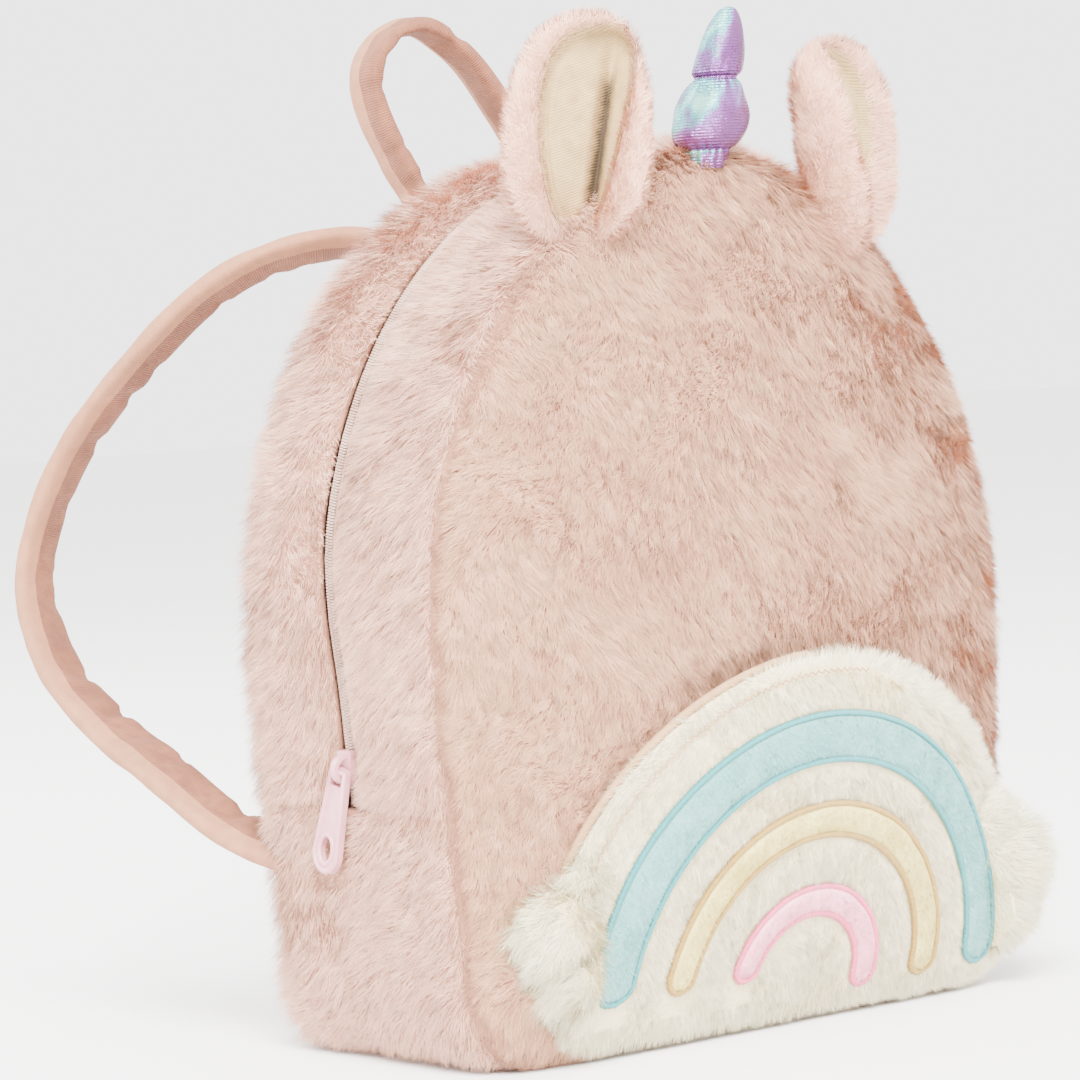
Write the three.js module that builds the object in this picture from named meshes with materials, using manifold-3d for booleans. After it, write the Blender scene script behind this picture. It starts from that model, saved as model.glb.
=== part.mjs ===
// A small plush backpack in the form of a unicorn, in millimetres.
// +Z is up and the front faces -Y. The origin is the middle of the flat base, under the bag.
import * as THREE from 'three';
import { mergeVertices } from 'three/addons/utils/BufferGeometryUtils.js';
import Module from 'manifold-3d';

const manifold = await Module();
manifold.setup();

// Body
const BODY_HEIGHT = 266;
const BODY_WIDTH = 222;
const BASE_WIDTH = 211;
const BASE_CORNER = 26;
const ARCH_START = 128; // height where the sides begin to arch in
const BODY_DEPTH = 96; // from the front seam to the back seam
const FRONT_CROWN = 18; // how far the front panel stands proud of its seam
const BACK_CROWN = 11;
const SIDE_CROWN = 4; // how far the gusset swells between its seams
const PLUSH_WALL = 4; // faux fur with its wadding and lining
const CLEARANCE = 0.3; // between pieces that touch

// Zip
const ZIP_END_HEIGHT = 78; // where the zip gusset meets the bottom gusset
const ZIP_OPENING = 8; // between the two halves of the zip gusset
const ZIP_SETBACK = 7; // above its slider the zip drifts this far behind the middle of the gusset
const ZIP_DIP = 3; // how far the plush rolls down into the zip
const TAPE_THICKNESS = 1.4;
const COIL_WIDTH = 4;
const COIL_HEIGHT = 1.2;
const SLIDER_LENGTH = 11;
const SLIDER_WIDTH = 7;
const SLIDER_PLATE = 2;
const SLIDER_ABOVE_END = 12; // from the end of the zip up to the middle of the slider
const BRIDGE_RADIUS = 3.9;
const BRIDGE_WIDTH = 2.6;
const BRIDGE_THICKNESS = 1.3;
const PULL_LENGTH = 33;
const PULL_TOP_WIDTH = 8.2;
const PULL_END_WIDTH = 12.6;
const PULL_THICKNESS = 2;
const PULL_BAR = 1.6; // the bar across the top of the tab, inside the bridge
const PULL_EYE_LENGTH = 4.2; // the eye that the bridge passes through, from the bar down
const PULL_EYE_WIDTH = 5;
const PULL_AXIS_HEIGHT = 1.6; // middle of the bar over the slider's plate
const PULL_HOLE_LENGTH = 8;
const PULL_HOLE_WIDTH = 5.6;
const PULL_LEAN = 14; // degrees that the tab hangs towards the back
const PULL_LIFT = 8; // degrees that the plush holds the tab off the side

// Ears
const EAR_HEIGHT = 66;
const EAR_WIDTH = 41;
const EAR_THICKNESS = 10;
const EAR_FOLD = 24; // how far the sides of an ear come forward of its crease
const EAR_CREASE = 0.6; // how far off the middle the crease ends at the tip, as a share of half the width
const EAR_TURN = 48; // degrees that an ear faces outwards
const EAR_LEAN = 4; // how far the tip leans in over the foot
const LINING_THICKNESS = 1.8;
const LINING_SHARE = 0.7; // of the size of the ear
const EAR_BACK_WALL = 3.2; // plush behind the lining
const EAR_SETBACK = 2; // from the front seam back to the foot of an ear

// Horn
const HORN_HEIGHT = 46;
const HORN_RADIUS = 11.3;
const HORN_LEAN_SIDE = 8;
const HORN_LEAN_FRONT = 4;

// Pocket
const POCKET_RADIUS = 99.5; // of its arch
const POCKET_CENTRE_HEIGHT = 15; // of the arch and the rainbow
const POCKET_SHIFT = 11; // the pocket is sewn on a little right of the middle
const RAINBOW_SHIFT = 9.5;
const POCKET_CORNER_HEIGHT = 31; // where the arch turns in towards the bottom edge
const POCKET_FOOT = 3; // height of its bottom edge
const POCKET_FOOT_WIDTH = 150;
const POCKET_EASE = 1.2; // how far the sewn stretch arches off the front panel
const POCKET_WALL = 4;
const POCKET_EDGE = 0.4; // thickness of its rim, as a share of the wall
const POCKET_GAP = 9; // how far the pocket stands off at the middle of its mouth
const BAND_THICKNESS = 1.5;
const BAND_FOOT_LEFT = 18;
const BAND_FOOT_RIGHT = 10;
const PUFF_RADIUS = 14;
const PUFF_HEIGHT = 38;
const PUFF_SPREAD = 91; // from the middle of the rainbow to the middle of a puff
const LOCK_LENGTH = 13; // from the root of a lock, inside its head, to its tip
const LOCK_RADIUS = 8.5;
const LOCK_FAN = 1.2; // the angle, in radians, that the locks of a head spread over

// Straps and handle
const STRAP_WIDTH = 19;
const STRAP_THICKNESS = 6;
const STRAP_TURN = 38; // degrees that the width of a strap turns out from straight back
const STRAP_TILT = 25; // degrees that its inner face turns towards the front
const STRAP_REACH = 116; // how far a strap loops out behind the back seam
const STRAP_SPLAY = 123; // from the middle of the bag to the widest point of a strap
const STRAP_TOP_SPREAD = 20;
const STRAP_UNDER_HANDLE = 8; // from the handle's foot down to the strap's top end
const STRAP_FOOT_HEIGHT = 62;
const HANDLE_WIDTH = 15;
const HANDLE_THICKNESS = 5.5;
const HANDLE_HEIGHT = 68; // from its feet to the top of the loop
const HANDLE_SPREAD = 26; // from the middle of the bag to a foot
const HANDLE_FOOT_HEIGHT = 249;
const HANDLE_REACH = 22; // how far the loop leans back from the back seam
const HANDLE_TUCK = 0.06; // the share of its height that a foot goes down into the seam

// Fineness of the mesh
const OUTLINE_STEPS = 44;
const POCKET_STEPS = 36;
const STRAP_STEPS = 28;
const HANDLE_STEPS = 20;
const BAND_STEPS = 16;
const EAR_STEPS = 20;
const LOCK_SIDES = 8;
const LOCKS_PER_HEAD = 3;

const fabric = (color, roughness = 1) => new THREE.MeshStandardMaterial({ color, roughness, metalness: 0 });
const PINK_PLUSH = fabric(0xe2cbbe);
const PALE_PLUSH = fabric(0xe6d4cb);
const CREAM_PLUSH = fabric(0xeee8da);
const EAR_VELVET = fabric(0xddcab2, 0.85);
const PINK_VELVET = fabric(0xd6af9d, 0.8);
const TAPE_CLOTH = fabric(0xdcccc6, 0.9);
const BLUE_PLUSH = fabric(0xc0d9d6);
const YELLOW_PLUSH = fabric(0xebe3c8);
const ROSE_PLUSH = fabric(0xf2dce0);
const PINK_PLASTIC = fabric(0xeed9dc, 0.4);
const HORN_CLOTH = new THREE.MeshStandardMaterial({ color: 0xb4a6c0, roughness: 0.35, metalness: 0.6 });

// The ears. spread, a share of the body's width, is from the middle to the foot of an ear. sink, a
// share of the ear's height, is how far the foot goes down into the seam.
const EARS = [
  { name: 'left', side: -1, spread: 0.206, sink: 0.171 },
  { name: 'right', side: 1, spread: 0.216, sink: 0.265 },
];

// The rainbow, from its outermost band. radius, to a band's middle line, and width are shares of the
// pocket's radius.
const BANDS = [
  { name: 'blue', radius: 0.757, width: 0.141, material: BLUE_PLUSH },
  { name: 'yellow', radius: 0.503, width: 0.096, material: YELLOW_PLUSH },
  { name: 'pink', radius: 0.251, width: 0.086, material: ROSE_PLUSH },
];

const SIDES = [
  { name: 'left', side: -1 },
  { name: 'right', side: 1 },
];

const model = new THREE.Group();

/** Adds one named sub-part to the model. */
function addPart(name, geometry, material) {
  const mesh = new THREE.Mesh(geometry, material);
  mesh.name = name;
  model.add(mesh);
  return mesh;
}

/** Evenly spaced shares from 0 to 1. */
function shares(steps) {
  return Array.from({ length: steps + 1 }, (_, i) => i / steps);
}

/** Shares from 0 to 1 that crowd towards both ends. */
function easedShares(steps) {
  return shares(steps).map((share) => (1 - Math.cos(Math.PI * share)) / 2);
}

/** The share of a closed path, from 0 to 1, that a share outside that range stands for. */
function wrapped(share) {
  return ((share % 1) + 1) % 1;
}

/** Swells from 0 at a share of 1, through a round shoulder, to 1 at a share of 0. */
function swell(share, fullness = 2.2, shoulder = 1.5) {
  return Math.max(0, 1 - Math.abs(share) ** fullness) ** (1 / shoulder);
}

/** A smooth step from 0 to 1 as value goes from low to high. */
function smooth(value, low, high) {
  return THREE.MathUtils.smoothstep(value, low, high);
}

/** Skins a closed body over rings of equal length. A ring of one point closes an end to a pole. */
function loft(rings) {
  const positions = [];
  const index = [];
  const starts = [];
  for (const ring of rings) {
    starts.push(positions.length / 3);
    for (const point of ring) positions.push(point.x, point.y, point.z);
  }
  for (let k = 0; k + 1 < rings.length; k++) {
    const [a, b] = [starts[k], starts[k + 1]];
    const count = Math.max(rings[k].length, rings[k + 1].length);
    for (let i = 0; i < count; i++) {
      const j = (i + 1) % count;
      if (rings[k].length === 1) index.push(a, b + j, b + i);
      else if (rings[k + 1].length === 1) index.push(a + i, a + j, b);
      else index.push(a + i, a + j, b + j, a + i, b + j, b + i);
    }
  }
  const cap = (start, count, isFirst) => {
    for (let j = 0; j < count / 2 - 1; j++) {
      const quad = [start + j, start + j + 1, start + count - 2 - j, start + count - 1 - j];
      const triangles = [[quad[0], quad[1], quad[2]], [quad[0], quad[2], quad[3]]];
      for (const [p, q, r] of triangles) {
        if (p !== q && q !== r && r !== p) index.push(...(isFirst ? [p, r, q] : [p, q, r]));
      }
    }
  };
  const last = rings.length - 1;
  if (rings[0].length > 1) cap(starts[0], rings[0].length, true);
  if (rings[last].length > 1) cap(starts[last], rings[last].length, false);
  const geometry = new THREE.BufferGeometry();
  geometry.setAttribute('position', new THREE.Float32BufferAttribute(positions, 3));
  geometry.setIndex(signedVolume(positions, index) < 0 ? flipped(index) : index);
  return geometry;
}

/** Six times the volume that the triangles enclose, negative where they face in. */
function signedVolume(positions, index) {
  let total = 0;
  const corner = (i) => new THREE.Vector3().fromArray(positions, 3 * index[i]);
  for (let i = 0; i < index.length; i += 3) {
    total += corner(i).dot(corner(i + 1).cross(corner(i + 2)));
  }
  return total;
}

/** The same triangles, facing the other way. */
function flipped(index) {
  const turned = [];
  for (let i = 0; i < index.length; i += 3) turned.push(index[i], index[i + 2], index[i + 1]);
  return turned;
}

/** A manifold solid of a closed geometry, for joining and cutting. */
function toSolid(geometry) {
  const bare = geometry.clone();
  bare.deleteAttribute('normal');
  bare.deleteAttribute('uv');
  const merged = mergeVertices(bare, 1e-4);
  return new manifold.Manifold(new manifold.Mesh({
    numProp: 3,
    vertProperties: new Float32Array(merged.getAttribute('position').array),
    triVerts: new Uint32Array(merged.getIndex().array),
  }));
}

/** The geometry of a manifold solid. */
function toGeometry(solid) {
  const mesh = solid.getMesh();
  const geometry = new THREE.BufferGeometry();
  geometry.setAttribute('position', new THREE.Float32BufferAttribute(mesh.vertProperties, 3));
  geometry.setIndex(Array.from(mesh.triVerts));
  return geometry;
}

/** A closed outline in the XZ plane, seen from the front, with a centre that sees all of it. */
class Outline {
  constructor(path, centre, fineness = 720) {
    this.path = path;
    this.centre = centre;
    this.rays = [];
    for (const share of shares(fineness)) {
      const point = path.getPoint(share);
      const arm = point.clone().sub(centre);
      this.rays.push({ angle: Math.atan2(arm.y, arm.x), reach: arm.length() });
    }
    this.rays.sort((one, other) => one.angle - other.angle);
  }

  /** The point at a share of the way round, moved out along the outline's normal. */
  at(share, outwards = 0) {
    return this.path.getPoint(wrapped(share)).addScaledVector(this.normal(share), outwards);
  }

  normal(share) {
    const step = 1e-3;
    const ahead = this.path.getPoint(wrapped(share + step));
    const behind = this.path.getPoint(wrapped(share - step));
    const tangent = ahead.sub(behind).normalize();
    return new THREE.Vector2(tangent.y, -tangent.x);
  }

  /** How far from the centre to the outline a point is: 0 at the centre and 1 on the outline. */
  reachOf(x, z) {
    const angle = Math.atan2(z - this.centre.y, x - this.centre.x);
    const after = this.rays.findIndex((ray) => ray.angle >= angle);
    const high = this.rays[Math.max(after, 0)];
    const low = this.rays[(Math.max(after, 0) + this.rays.length - 1) % this.rays.length];
    const span = high.angle - low.angle;
    const blend = after > 0 && span > 1e-9 ? (angle - low.angle) / span : 0;
    const reach = after > 0 ? THREE.MathUtils.lerp(low.reach, high.reach, blend) : high.reach;
    return Math.hypot(x - this.centre.x, z - this.centre.y) / reach;
  }

  /** The share of the right-hand side, from the bottom, that has a given height. */
  shareAtHeight(height) {
    let [low, high] = [0, 0.5];
    for (let i = 0; i < 40; i++) {
      const middle = (low + high) / 2;
      if (this.path.getPoint(middle).y < height) low = middle;
      else high = middle;
    }
    return low;
  }
}

/** The outline that the front and back panels share: a flat base, near-upright sides and an arch. */
function bodyOutline() {
  const half = BODY_WIDTH / 2;
  const base = BASE_WIDTH / 2;
  const run = ARCH_START - BASE_CORNER;
  const lean = (half - base) / run;
  const path = new THREE.Path();
  path.moveTo(0, 0);
  path.lineTo(base - BASE_CORNER, 0);
  path.quadraticCurveTo(base - lean * BASE_CORNER, 0, base, BASE_CORNER);
  path.bezierCurveTo(
    base + lean * run / 3, BASE_CORNER + run / 3, half, ARCH_START - run / 3, half, ARCH_START);
  path.absellipse(0, ARCH_START, half, BODY_HEIGHT - ARCH_START, 0, Math.PI, false, 0);
  path.bezierCurveTo(
    -half, ARCH_START - run / 3, -base - lean * run / 3, BASE_CORNER + run / 3, -base, BASE_CORNER);
  path.quadraticCurveTo(-base + lean * BASE_CORNER, 0, -base + BASE_CORNER, 0);
  path.lineTo(0, 0);
  return new Outline(path, new THREE.Vector2(0, 0.45 * BODY_HEIGHT));
}

const BODY = bodyOutline();
const SEAM = BODY_DEPTH / 2 + CLEARANCE / 2; // distance of a panel's rim from the middle plane

/** Depth of the front panel's face below a point of the XZ plane, as a negative y. */
function frontFace(x, z) {
  return -SEAM - FRONT_CROWN * swell(Math.min(BODY.reachOf(x, z), 1));
}

/** One ring of a panel, at a share of the way from its centre to its rim. */
function panelRing(share, y, inset = 0) {
  return shares(OUTLINE_STEPS).slice(0, -1).map((step) => {
    const rim = BODY.at(step, -inset);
    const place = BODY.centre.clone().lerp(rim, share);
    return new THREE.Vector3(place.x, y, place.y);
  });
}

/** A domed plush wall inside the body outline. side is -1 in front and 1 behind. */
function panel(side, crown) {
  const outer = [0.3, 0.55, 0.75, 0.88, 0.96, 1];
  const inner = [0.96, 0.85, 0.6, 0.3];
  const centre = (y) => [new THREE.Vector3(BODY.centre.x, y, BODY.centre.y)];
  const rings = [centre(side * (SEAM + crown))];
  for (const share of outer) rings.push(panelRing(share, side * (SEAM + crown * swell(share))));
  const hollow = (share) => side * (SEAM + Math.max(crown * swell(share) - PLUSH_WALL, 0));
  rings.push(panelRing(1, side * SEAM, PLUSH_WALL));
  for (const share of inner) rings.push(panelRing(share, hollow(share), PLUSH_WALL));
  rings.push(centre(hollow(0)));
  return loft(rings);
}

/** How far the gusset stands out from the outline, at a share round it and a distance from its middle. */
function gussetSwell(share, y) {
  const flatOnFloor = 1 - Math.max(0, -BODY.normal(share).y) ** 6;
  return SIDE_CROWN * swell(2 * y / BODY_DEPTH) * flatOnFloor;
}

/** The shares of the outline that the mesh uses between two others, with both ends. */
function stations(from, to) {
  const between = shares(2 * OUTLINE_STEPS).map((share) => 2 * share)
    .filter((share) => share > from + 1e-3 && share < to - 1e-3);
  return [from, ...between, to];
}

/** A plush strip round the outline, between two shares of it. The edges give its two y at a share. */
function gussetStrip(fromShare, toShare, edges, dip) {
  const across = easedShares(6);
  return loft(stations(fromShare, toShare).map((share) => {
    const [fromY, toY] = edges(share);
    const place = (y, depth) => {
      const point = BODY.at(share, gussetSwell(share, y) - dip(share, y) - depth);
      return new THREE.Vector3(point.x, y, point.y);
    };
    const outer = across.map((step) => place(THREE.MathUtils.lerp(fromY, toY, step), 0));
    const inner = across.filter((_, i) => i % 2 === 0)
      .map((step) => place(THREE.MathUtils.lerp(toY, fromY, step), PLUSH_WALL));
    return [...outer, ...inner];
  }));
}

/** The y of the zip's middle line at a share of the way round the outline. */
function zipLine(share) {
  const start = ZIP_END_HEIGHT + SLIDER_ABOVE_END + SLIDER_LENGTH;
  return ZIP_SETBACK * smooth(BODY.at(share).y, start, start + ARCH_START / 2);
}

/** How far the plush rolls down into the zip, at a share of the way round and a y. */
function zipDip(share, y) {
  const across = (Math.abs(y - zipLine(share)) - ZIP_OPENING / 2) / (BODY_DEPTH / 2 - ZIP_OPENING / 2);
  return ZIP_DIP * (1 - THREE.MathUtils.clamp(across, 0, 1)) ** 5;
}

/** The whole outside of the body with a clearance over it, which trims what is sewn on. */
function bodyEnvelope(clearance) {
  const steps = shares(OUTLINE_STEPS).slice(0, -1);
  const ringAt = (y) => steps.map((share) => {
    const point = BODY.at(share, gussetSwell(share, y) + clearance);
    return new THREE.Vector3(point.x, y, point.y);
  });
  const panelRings = (side, crown) => [0.3, 0.55, 0.75, 0.88, 0.96]
    .map((share) => panelRing(share, side * (SEAM + crown * swell(share) + clearance), -clearance));
  const centre = (y) => [new THREE.Vector3(BODY.centre.x, y, BODY.centre.y)];
  const across = easedShares(8).map((step) => THREE.MathUtils.lerp(-SEAM, SEAM, step));
  return toSolid(loft([
    centre(-SEAM - FRONT_CROWN - clearance),
    ...panelRings(-1, FRONT_CROWN),
    ...across.map(ringAt),
    ...panelRings(1, BACK_CROWN).reverse(),
    centre(SEAM + BACK_CROWN + clearance),
  ]));
}

const ENVELOPE = bodyEnvelope(CLEARANCE);
const SEAM_SHARE = CLEARANCE / 2 / BODY.path.getLength(); // half a clearance, as a share of the outline
const COIL_TOP = SIDE_CROWN - ZIP_DIP - TAPE_THICKNESS / 2;
const TAPE_TOP = COIL_TOP - COIL_HEIGHT;

/** What is left of a sewn-on piece outside the body. */
function trimmed(geometry, ...cutters) {
  return toGeometry(cutters.reduce((solid, cutter) => solid.subtract(cutter), toSolid(geometry)));
}

/** The front panel, the back panel and the gusset in its three strips. */
function addBody() {
  const zipEnd = BODY.shareAtHeight(ZIP_END_HEIGHT);
  const edge = BODY_DEPTH / 2 - CLEARANCE / 2;
  addPart('front_panel', panel(-1, FRONT_CROWN), PINK_PLUSH);
  addPart('back_panel', panel(1, BACK_CROWN), PINK_PLUSH);
  const zipSide = [zipEnd + SEAM_SHARE, 1 - zipEnd - SEAM_SHARE];
  const frontEdges = (share) => [-edge, zipLine(share) - ZIP_OPENING / 2];
  const backEdges = (share) => [zipLine(share) + ZIP_OPENING / 2, edge];
  addPart('zip_gusset_front', gussetStrip(...zipSide, frontEdges, zipDip), PALE_PLUSH);
  addPart('zip_gusset_back', gussetStrip(...zipSide, backEdges, zipDip), PALE_PLUSH);
  const bottomSide = [1 - zipEnd + SEAM_SHARE, 1 + zipEnd - SEAM_SHARE];
  addPart('bottom_gusset', gussetStrip(...bottomSide, () => [-edge, edge], () => 0), PALE_PLUSH);
}

/** The zip's tape, with its coil as a ridge, in the gap between the halves of the gusset. */
function addZipTape() {
  const zipEnd = BODY.shareAtHeight(ZIP_END_HEIGHT);
  const half = ZIP_OPENING / 2 - CLEARANCE;
  const coil = COIL_WIDTH / 2;
  const section = [
    { across: -half, level: TAPE_TOP },
    { across: -coil, level: TAPE_TOP },
    { across: 0, level: COIL_TOP },
    { across: coil, level: TAPE_TOP },
    { across: half, level: TAPE_TOP },
  ];
  const floor = TAPE_TOP - TAPE_THICKNESS;
  const loop = [...section, ...section.toReversed().map((row) => ({ across: row.across, level: floor }))];
  const along = stations(zipEnd + SEAM_SHARE, 1 - zipEnd - SEAM_SHARE);
  const rings = along.map((share) => loop.map((row) => {
    const point = BODY.at(share, row.level);
    return new THREE.Vector3(point.x, zipLine(share) + row.across, point.y);
  }));
  addPart('zip_tape', loft(rings), TAPE_CLOTH);
}

/** The place of the slider on the left side: x up the zip, y towards the back and z outwards. */
function sliderFrame() {
  const share = 1 - BODY.shareAtHeight(ZIP_END_HEIGHT + SLIDER_ABOVE_END);
  const outward = BODY.normal(share);
  const point = BODY.at(share, COIL_TOP + CLEARANCE);
  return new THREE.Matrix4()
    .makeBasis(
      new THREE.Vector3(-outward.y * Math.sign(outward.x), 0, Math.abs(outward.x)),
      new THREE.Vector3(0, 1, 0),
      new THREE.Vector3(outward.x, 0, outward.y))
    .setPosition(point.x, zipLine(share), point.y);
}

/** A shape with straight sides that widen downwards and a round lower end. */
function taperedShape(top, topWidth, length, endWidth) {
  const shape = new THREE.Shape();
  const radius = endWidth / 2;
  const corner = topWidth / 5;
  shape.moveTo(top, -topWidth / 2 + corner);
  shape.lineTo(top, topWidth / 2 - corner);
  shape.quadraticCurveTo(top, topWidth / 2, top - corner, topWidth / 2);
  shape.lineTo(top - length + radius, radius);
  shape.absarc(top - length + radius, 0, radius, Math.PI / 2, 1.5 * Math.PI, false);
  shape.lineTo(top - corner, -topWidth / 2);
  shape.quadraticCurveTo(top, -topWidth / 2, top, -topWidth / 2 + corner);
  return shape;
}

/** The slider's plate with the bridge that carries the pull tab. */
function addZipSlider() {
  const settings = { bevelEnabled: false, curveSegments: 8 };
  const outline = taperedShape(SLIDER_LENGTH / 2, SLIDER_WIDTH, SLIDER_LENGTH, SLIDER_WIDTH * 0.8);
  const plate = new THREE.ExtrudeGeometry(outline, { ...settings, depth: SLIDER_PLATE });
  const arch = new THREE.Shape();
  const root = SLIDER_PLATE / 2;
  const outside = BRIDGE_RADIUS + BRIDGE_THICKNESS / 2;
  const inside = BRIDGE_RADIUS - BRIDGE_THICKNESS / 2;
  arch.moveTo(outside, -root);
  arch.absarc(0, 0, outside, 0, Math.PI, false);
  arch.lineTo(-outside, -root);
  arch.lineTo(-inside, -root);
  arch.absarc(0, 0, inside, Math.PI, 0, true);
  arch.lineTo(inside, -root);
  const bridge = new THREE.ExtrudeGeometry(arch, { ...settings, depth: BRIDGE_WIDTH });
  bridge.rotateX(Math.PI / 2);
  bridge.translate(0, BRIDGE_WIDTH / 2, SLIDER_PLATE);
  const slider = addPart('zip_slider', toGeometry(toSolid(plate).add(toSolid(bridge))), PINK_PLASTIC);
  slider.applyMatrix4(sliderFrame());
}

/** The pull tab, hanging by the bar above its eye, which turns inside the slider's bridge. */
function addZipPull() {
  const outline = taperedShape(PULL_BAR / 2, PULL_TOP_WIDTH, PULL_LENGTH, PULL_END_WIDTH);
  const eyeTop = -PULL_BAR / 2;
  const eyeFoot = eyeTop - PULL_EYE_LENGTH;
  const eye = new THREE.Path();
  eye.moveTo(eyeTop, -PULL_EYE_WIDTH / 2);
  eye.lineTo(eyeFoot, -PULL_EYE_WIDTH / 2);
  eye.lineTo(eyeFoot, PULL_EYE_WIDTH / 2);
  eye.lineTo(eyeTop, PULL_EYE_WIDTH / 2);
  eye.closePath();
  const rim = (PULL_END_WIDTH - PULL_HOLE_WIDTH) / 2;
  const hole = new THREE.Path();
  const holeMiddle = PULL_BAR / 2 - PULL_LENGTH + rim + PULL_HOLE_LENGTH / 2;
  hole.absellipse(holeMiddle, 0, PULL_HOLE_LENGTH / 2, PULL_HOLE_WIDTH / 2, 0, 2 * Math.PI, true);
  outline.holes.push(eye, hole);
  const tab = new THREE.ExtrudeGeometry(outline, {
    depth: PULL_THICKNESS, bevelEnabled: false, curveSegments: 8,
  });
  tab.translate(0, 0, -PULL_THICKNESS / 2);
  tab.rotateY(THREE.MathUtils.degToRad(PULL_LIFT));
  tab.rotateZ(THREE.MathUtils.degToRad(-PULL_LEAN));
  tab.translate(0, 0, SLIDER_PLATE + PULL_AXIS_HEIGHT);
  addPart('zip_pull', tab, PINK_PLASTIC).applyMatrix4(sliderFrame());
}

/** The frame of an ear's foot: x across the ear, y up it and z out of its open side. */
function earFrame({ side, spread, sink }) {
  const turn = THREE.MathUtils.degToRad(EAR_TURN);
  const lean = EAR_LEAN / EAR_HEIGHT;
  const aside = spread * BODY_WIDTH;
  const facing = new THREE.Vector3(side * Math.sin(turn), -Math.cos(turn), 0);
  const up = new THREE.Vector3(-side * lean, 0, 1).normalize();
  const across = new THREE.Vector3(-side * Math.cos(turn), -Math.sin(turn), 0);
  return new THREE.Matrix4().makeBasis(across, up, facing)
    .setPosition(side * aside, -SEAM + EAR_SETBACK, archHeight(aside) - sink * EAR_HEIGHT);
}

/** Height of the body's arch at a distance from its middle. */
function archHeight(x) {
  const share = Math.min(Math.abs(x) / (BODY_WIDTH / 2), 0.99);
  return ARCH_START + (BODY_HEIGHT - ARCH_START) * Math.sqrt(1 - share ** 2);
}

/**
 * One ring of an ear leaf, folded about its crease. size is 1 at the rim and out is its level. cup turns
 * the ring from the egg shape of the ear, at 0, to the drop shape of its cup, at 1.
 */
function earRing(frame, size, out, cup = 0) {
  const squareness = 2 / 2.4;
  const reach = size * (1 + 0.25 * cup);
  return shares(EAR_STEPS).slice(0, -1).map((step) => {
    const angle = 2 * Math.PI * step;
    const round = (value) => Math.sign(value) * Math.abs(value) ** squareness;
    const up = Math.max((1 + reach * round(Math.sin(angle))) / 2, 0);
    const crease = EAR_CREASE * up;
    const oval = size * round(Math.cos(angle)) * (1 + 0.22 * (0.45 - up));
    const drop = oval * (0.5 + 0.75 * up ** 1.5) + size * (0.5 * up ** 2 - 0.11);
    const across = THREE.MathUtils.lerp(oval, drop, cup) + crease * (1 - size) ** 2;
    const fold = EAR_FOLD * (1 - 0.3 * up) * (Math.hypot(across - crease, 0.17) - 0.17);
    const place = new THREE.Vector3(across * EAR_WIDTH / 2, up * EAR_HEIGHT, out + fold);
    return place.applyMatrix4(frame);
  });
}

/** The pole of an ear leaf, on its crease. */
function earPole(frame, out) {
  return [earRing(frame, 0, out)[0]];
}

/** A plush ear, cupped and folded, and the velvet lining that lies in its cup. */
function addEar(ear) {
  const frame = earFrame(ear);
  const half = EAR_THICKNESS / 2;
  const floor = -half + EAR_BACK_WALL;
  const inner = LINING_SHARE / 2;
  const plush = loft([
    earPole(frame, -half),
    earRing(frame, 0.45, -half),
    earRing(frame, 0.78, -0.85 * half),
    earRing(frame, 0.95, -0.45 * half),
    earRing(frame, 1, 0.1 * half),
    earRing(frame, 0.94, 0.8 * half, 0.3),
    earRing(frame, 0.84, half, 0.7),
    earRing(frame, LINING_SHARE + 0.03, 0.7 * half, 1),
    earRing(frame, LINING_SHARE, floor, 1),
    earRing(frame, inner, floor, 1),
    earPole(frame, floor),
  ]);
  const edge = LINING_SHARE - 2 * CLEARANCE / (EAR_WIDTH / 2);
  const back = floor + 2 * CLEARANCE;
  const lining = loft([
    earPole(frame, back),
    earRing(frame, inner, back, 1),
    earRing(frame, edge, back, 1),
    earRing(frame, edge, back + 0.7 * LINING_THICKNESS, 1),
    earRing(frame, inner, back + LINING_THICKNESS, 1),
    earPole(frame, back + LINING_THICKNESS),
  ]);
  addPart(`ear_${ear.name}`, trimmed(plush, ENVELOPE), PINK_PLUSH);
  addPart(`ear_lining_${ear.name}`, trimmed(lining, ENVELOPE), EAR_VELVET);
}

/** The stuffed horn, tied near its foot and at its waist. */
function addHorn() {
  const girth = [
    { up: -0.08, radius: 0.7 },
    { up: 0, radius: 0.72 },
    { up: 0.05, radius: 0.78 },
    { up: 0.09, radius: 0.7 },
    { up: 0.17, radius: 0.95 },
    { up: 0.3, radius: 1 },
    { up: 0.45, radius: 0.84 },
    { up: 0.54, radius: 0.62 },
    { up: 0.59, radius: 0.69 },
    { up: 0.68, radius: 0.6 },
    { up: 0.8, radius: 0.46 },
    { up: 0.91, radius: 0.3 },
    { up: 0.98, radius: 0.15 },
  ];
  const profile = girth.map(({ up, radius }) => new THREE.Vector2(radius * HORN_RADIUS, up * HORN_HEIGHT));
  const foot = new THREE.Vector2(0, profile[0].y);
  const horn = new THREE.LatheGeometry([foot, ...profile, new THREE.Vector2(0, HORN_HEIGHT)], 16);
  horn.rotateX(Math.PI / 2);
  const place = horn.getAttribute('position');
  for (let i = 0; i < place.count; i++) {
    const up = Math.max(place.getZ(i), 0) / HORN_HEIGHT;
    place.setX(i, place.getX(i) + HORN_LEAN_SIDE * up ** 1.3);
    place.setY(i, place.getY(i) - HORN_LEAN_FRONT * up);
  }
  horn.translate(0, -SEAM, BODY_HEIGHT);
  addPart('horn', trimmed(horn, ENVELOPE), HORN_CLOTH);
}

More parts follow.
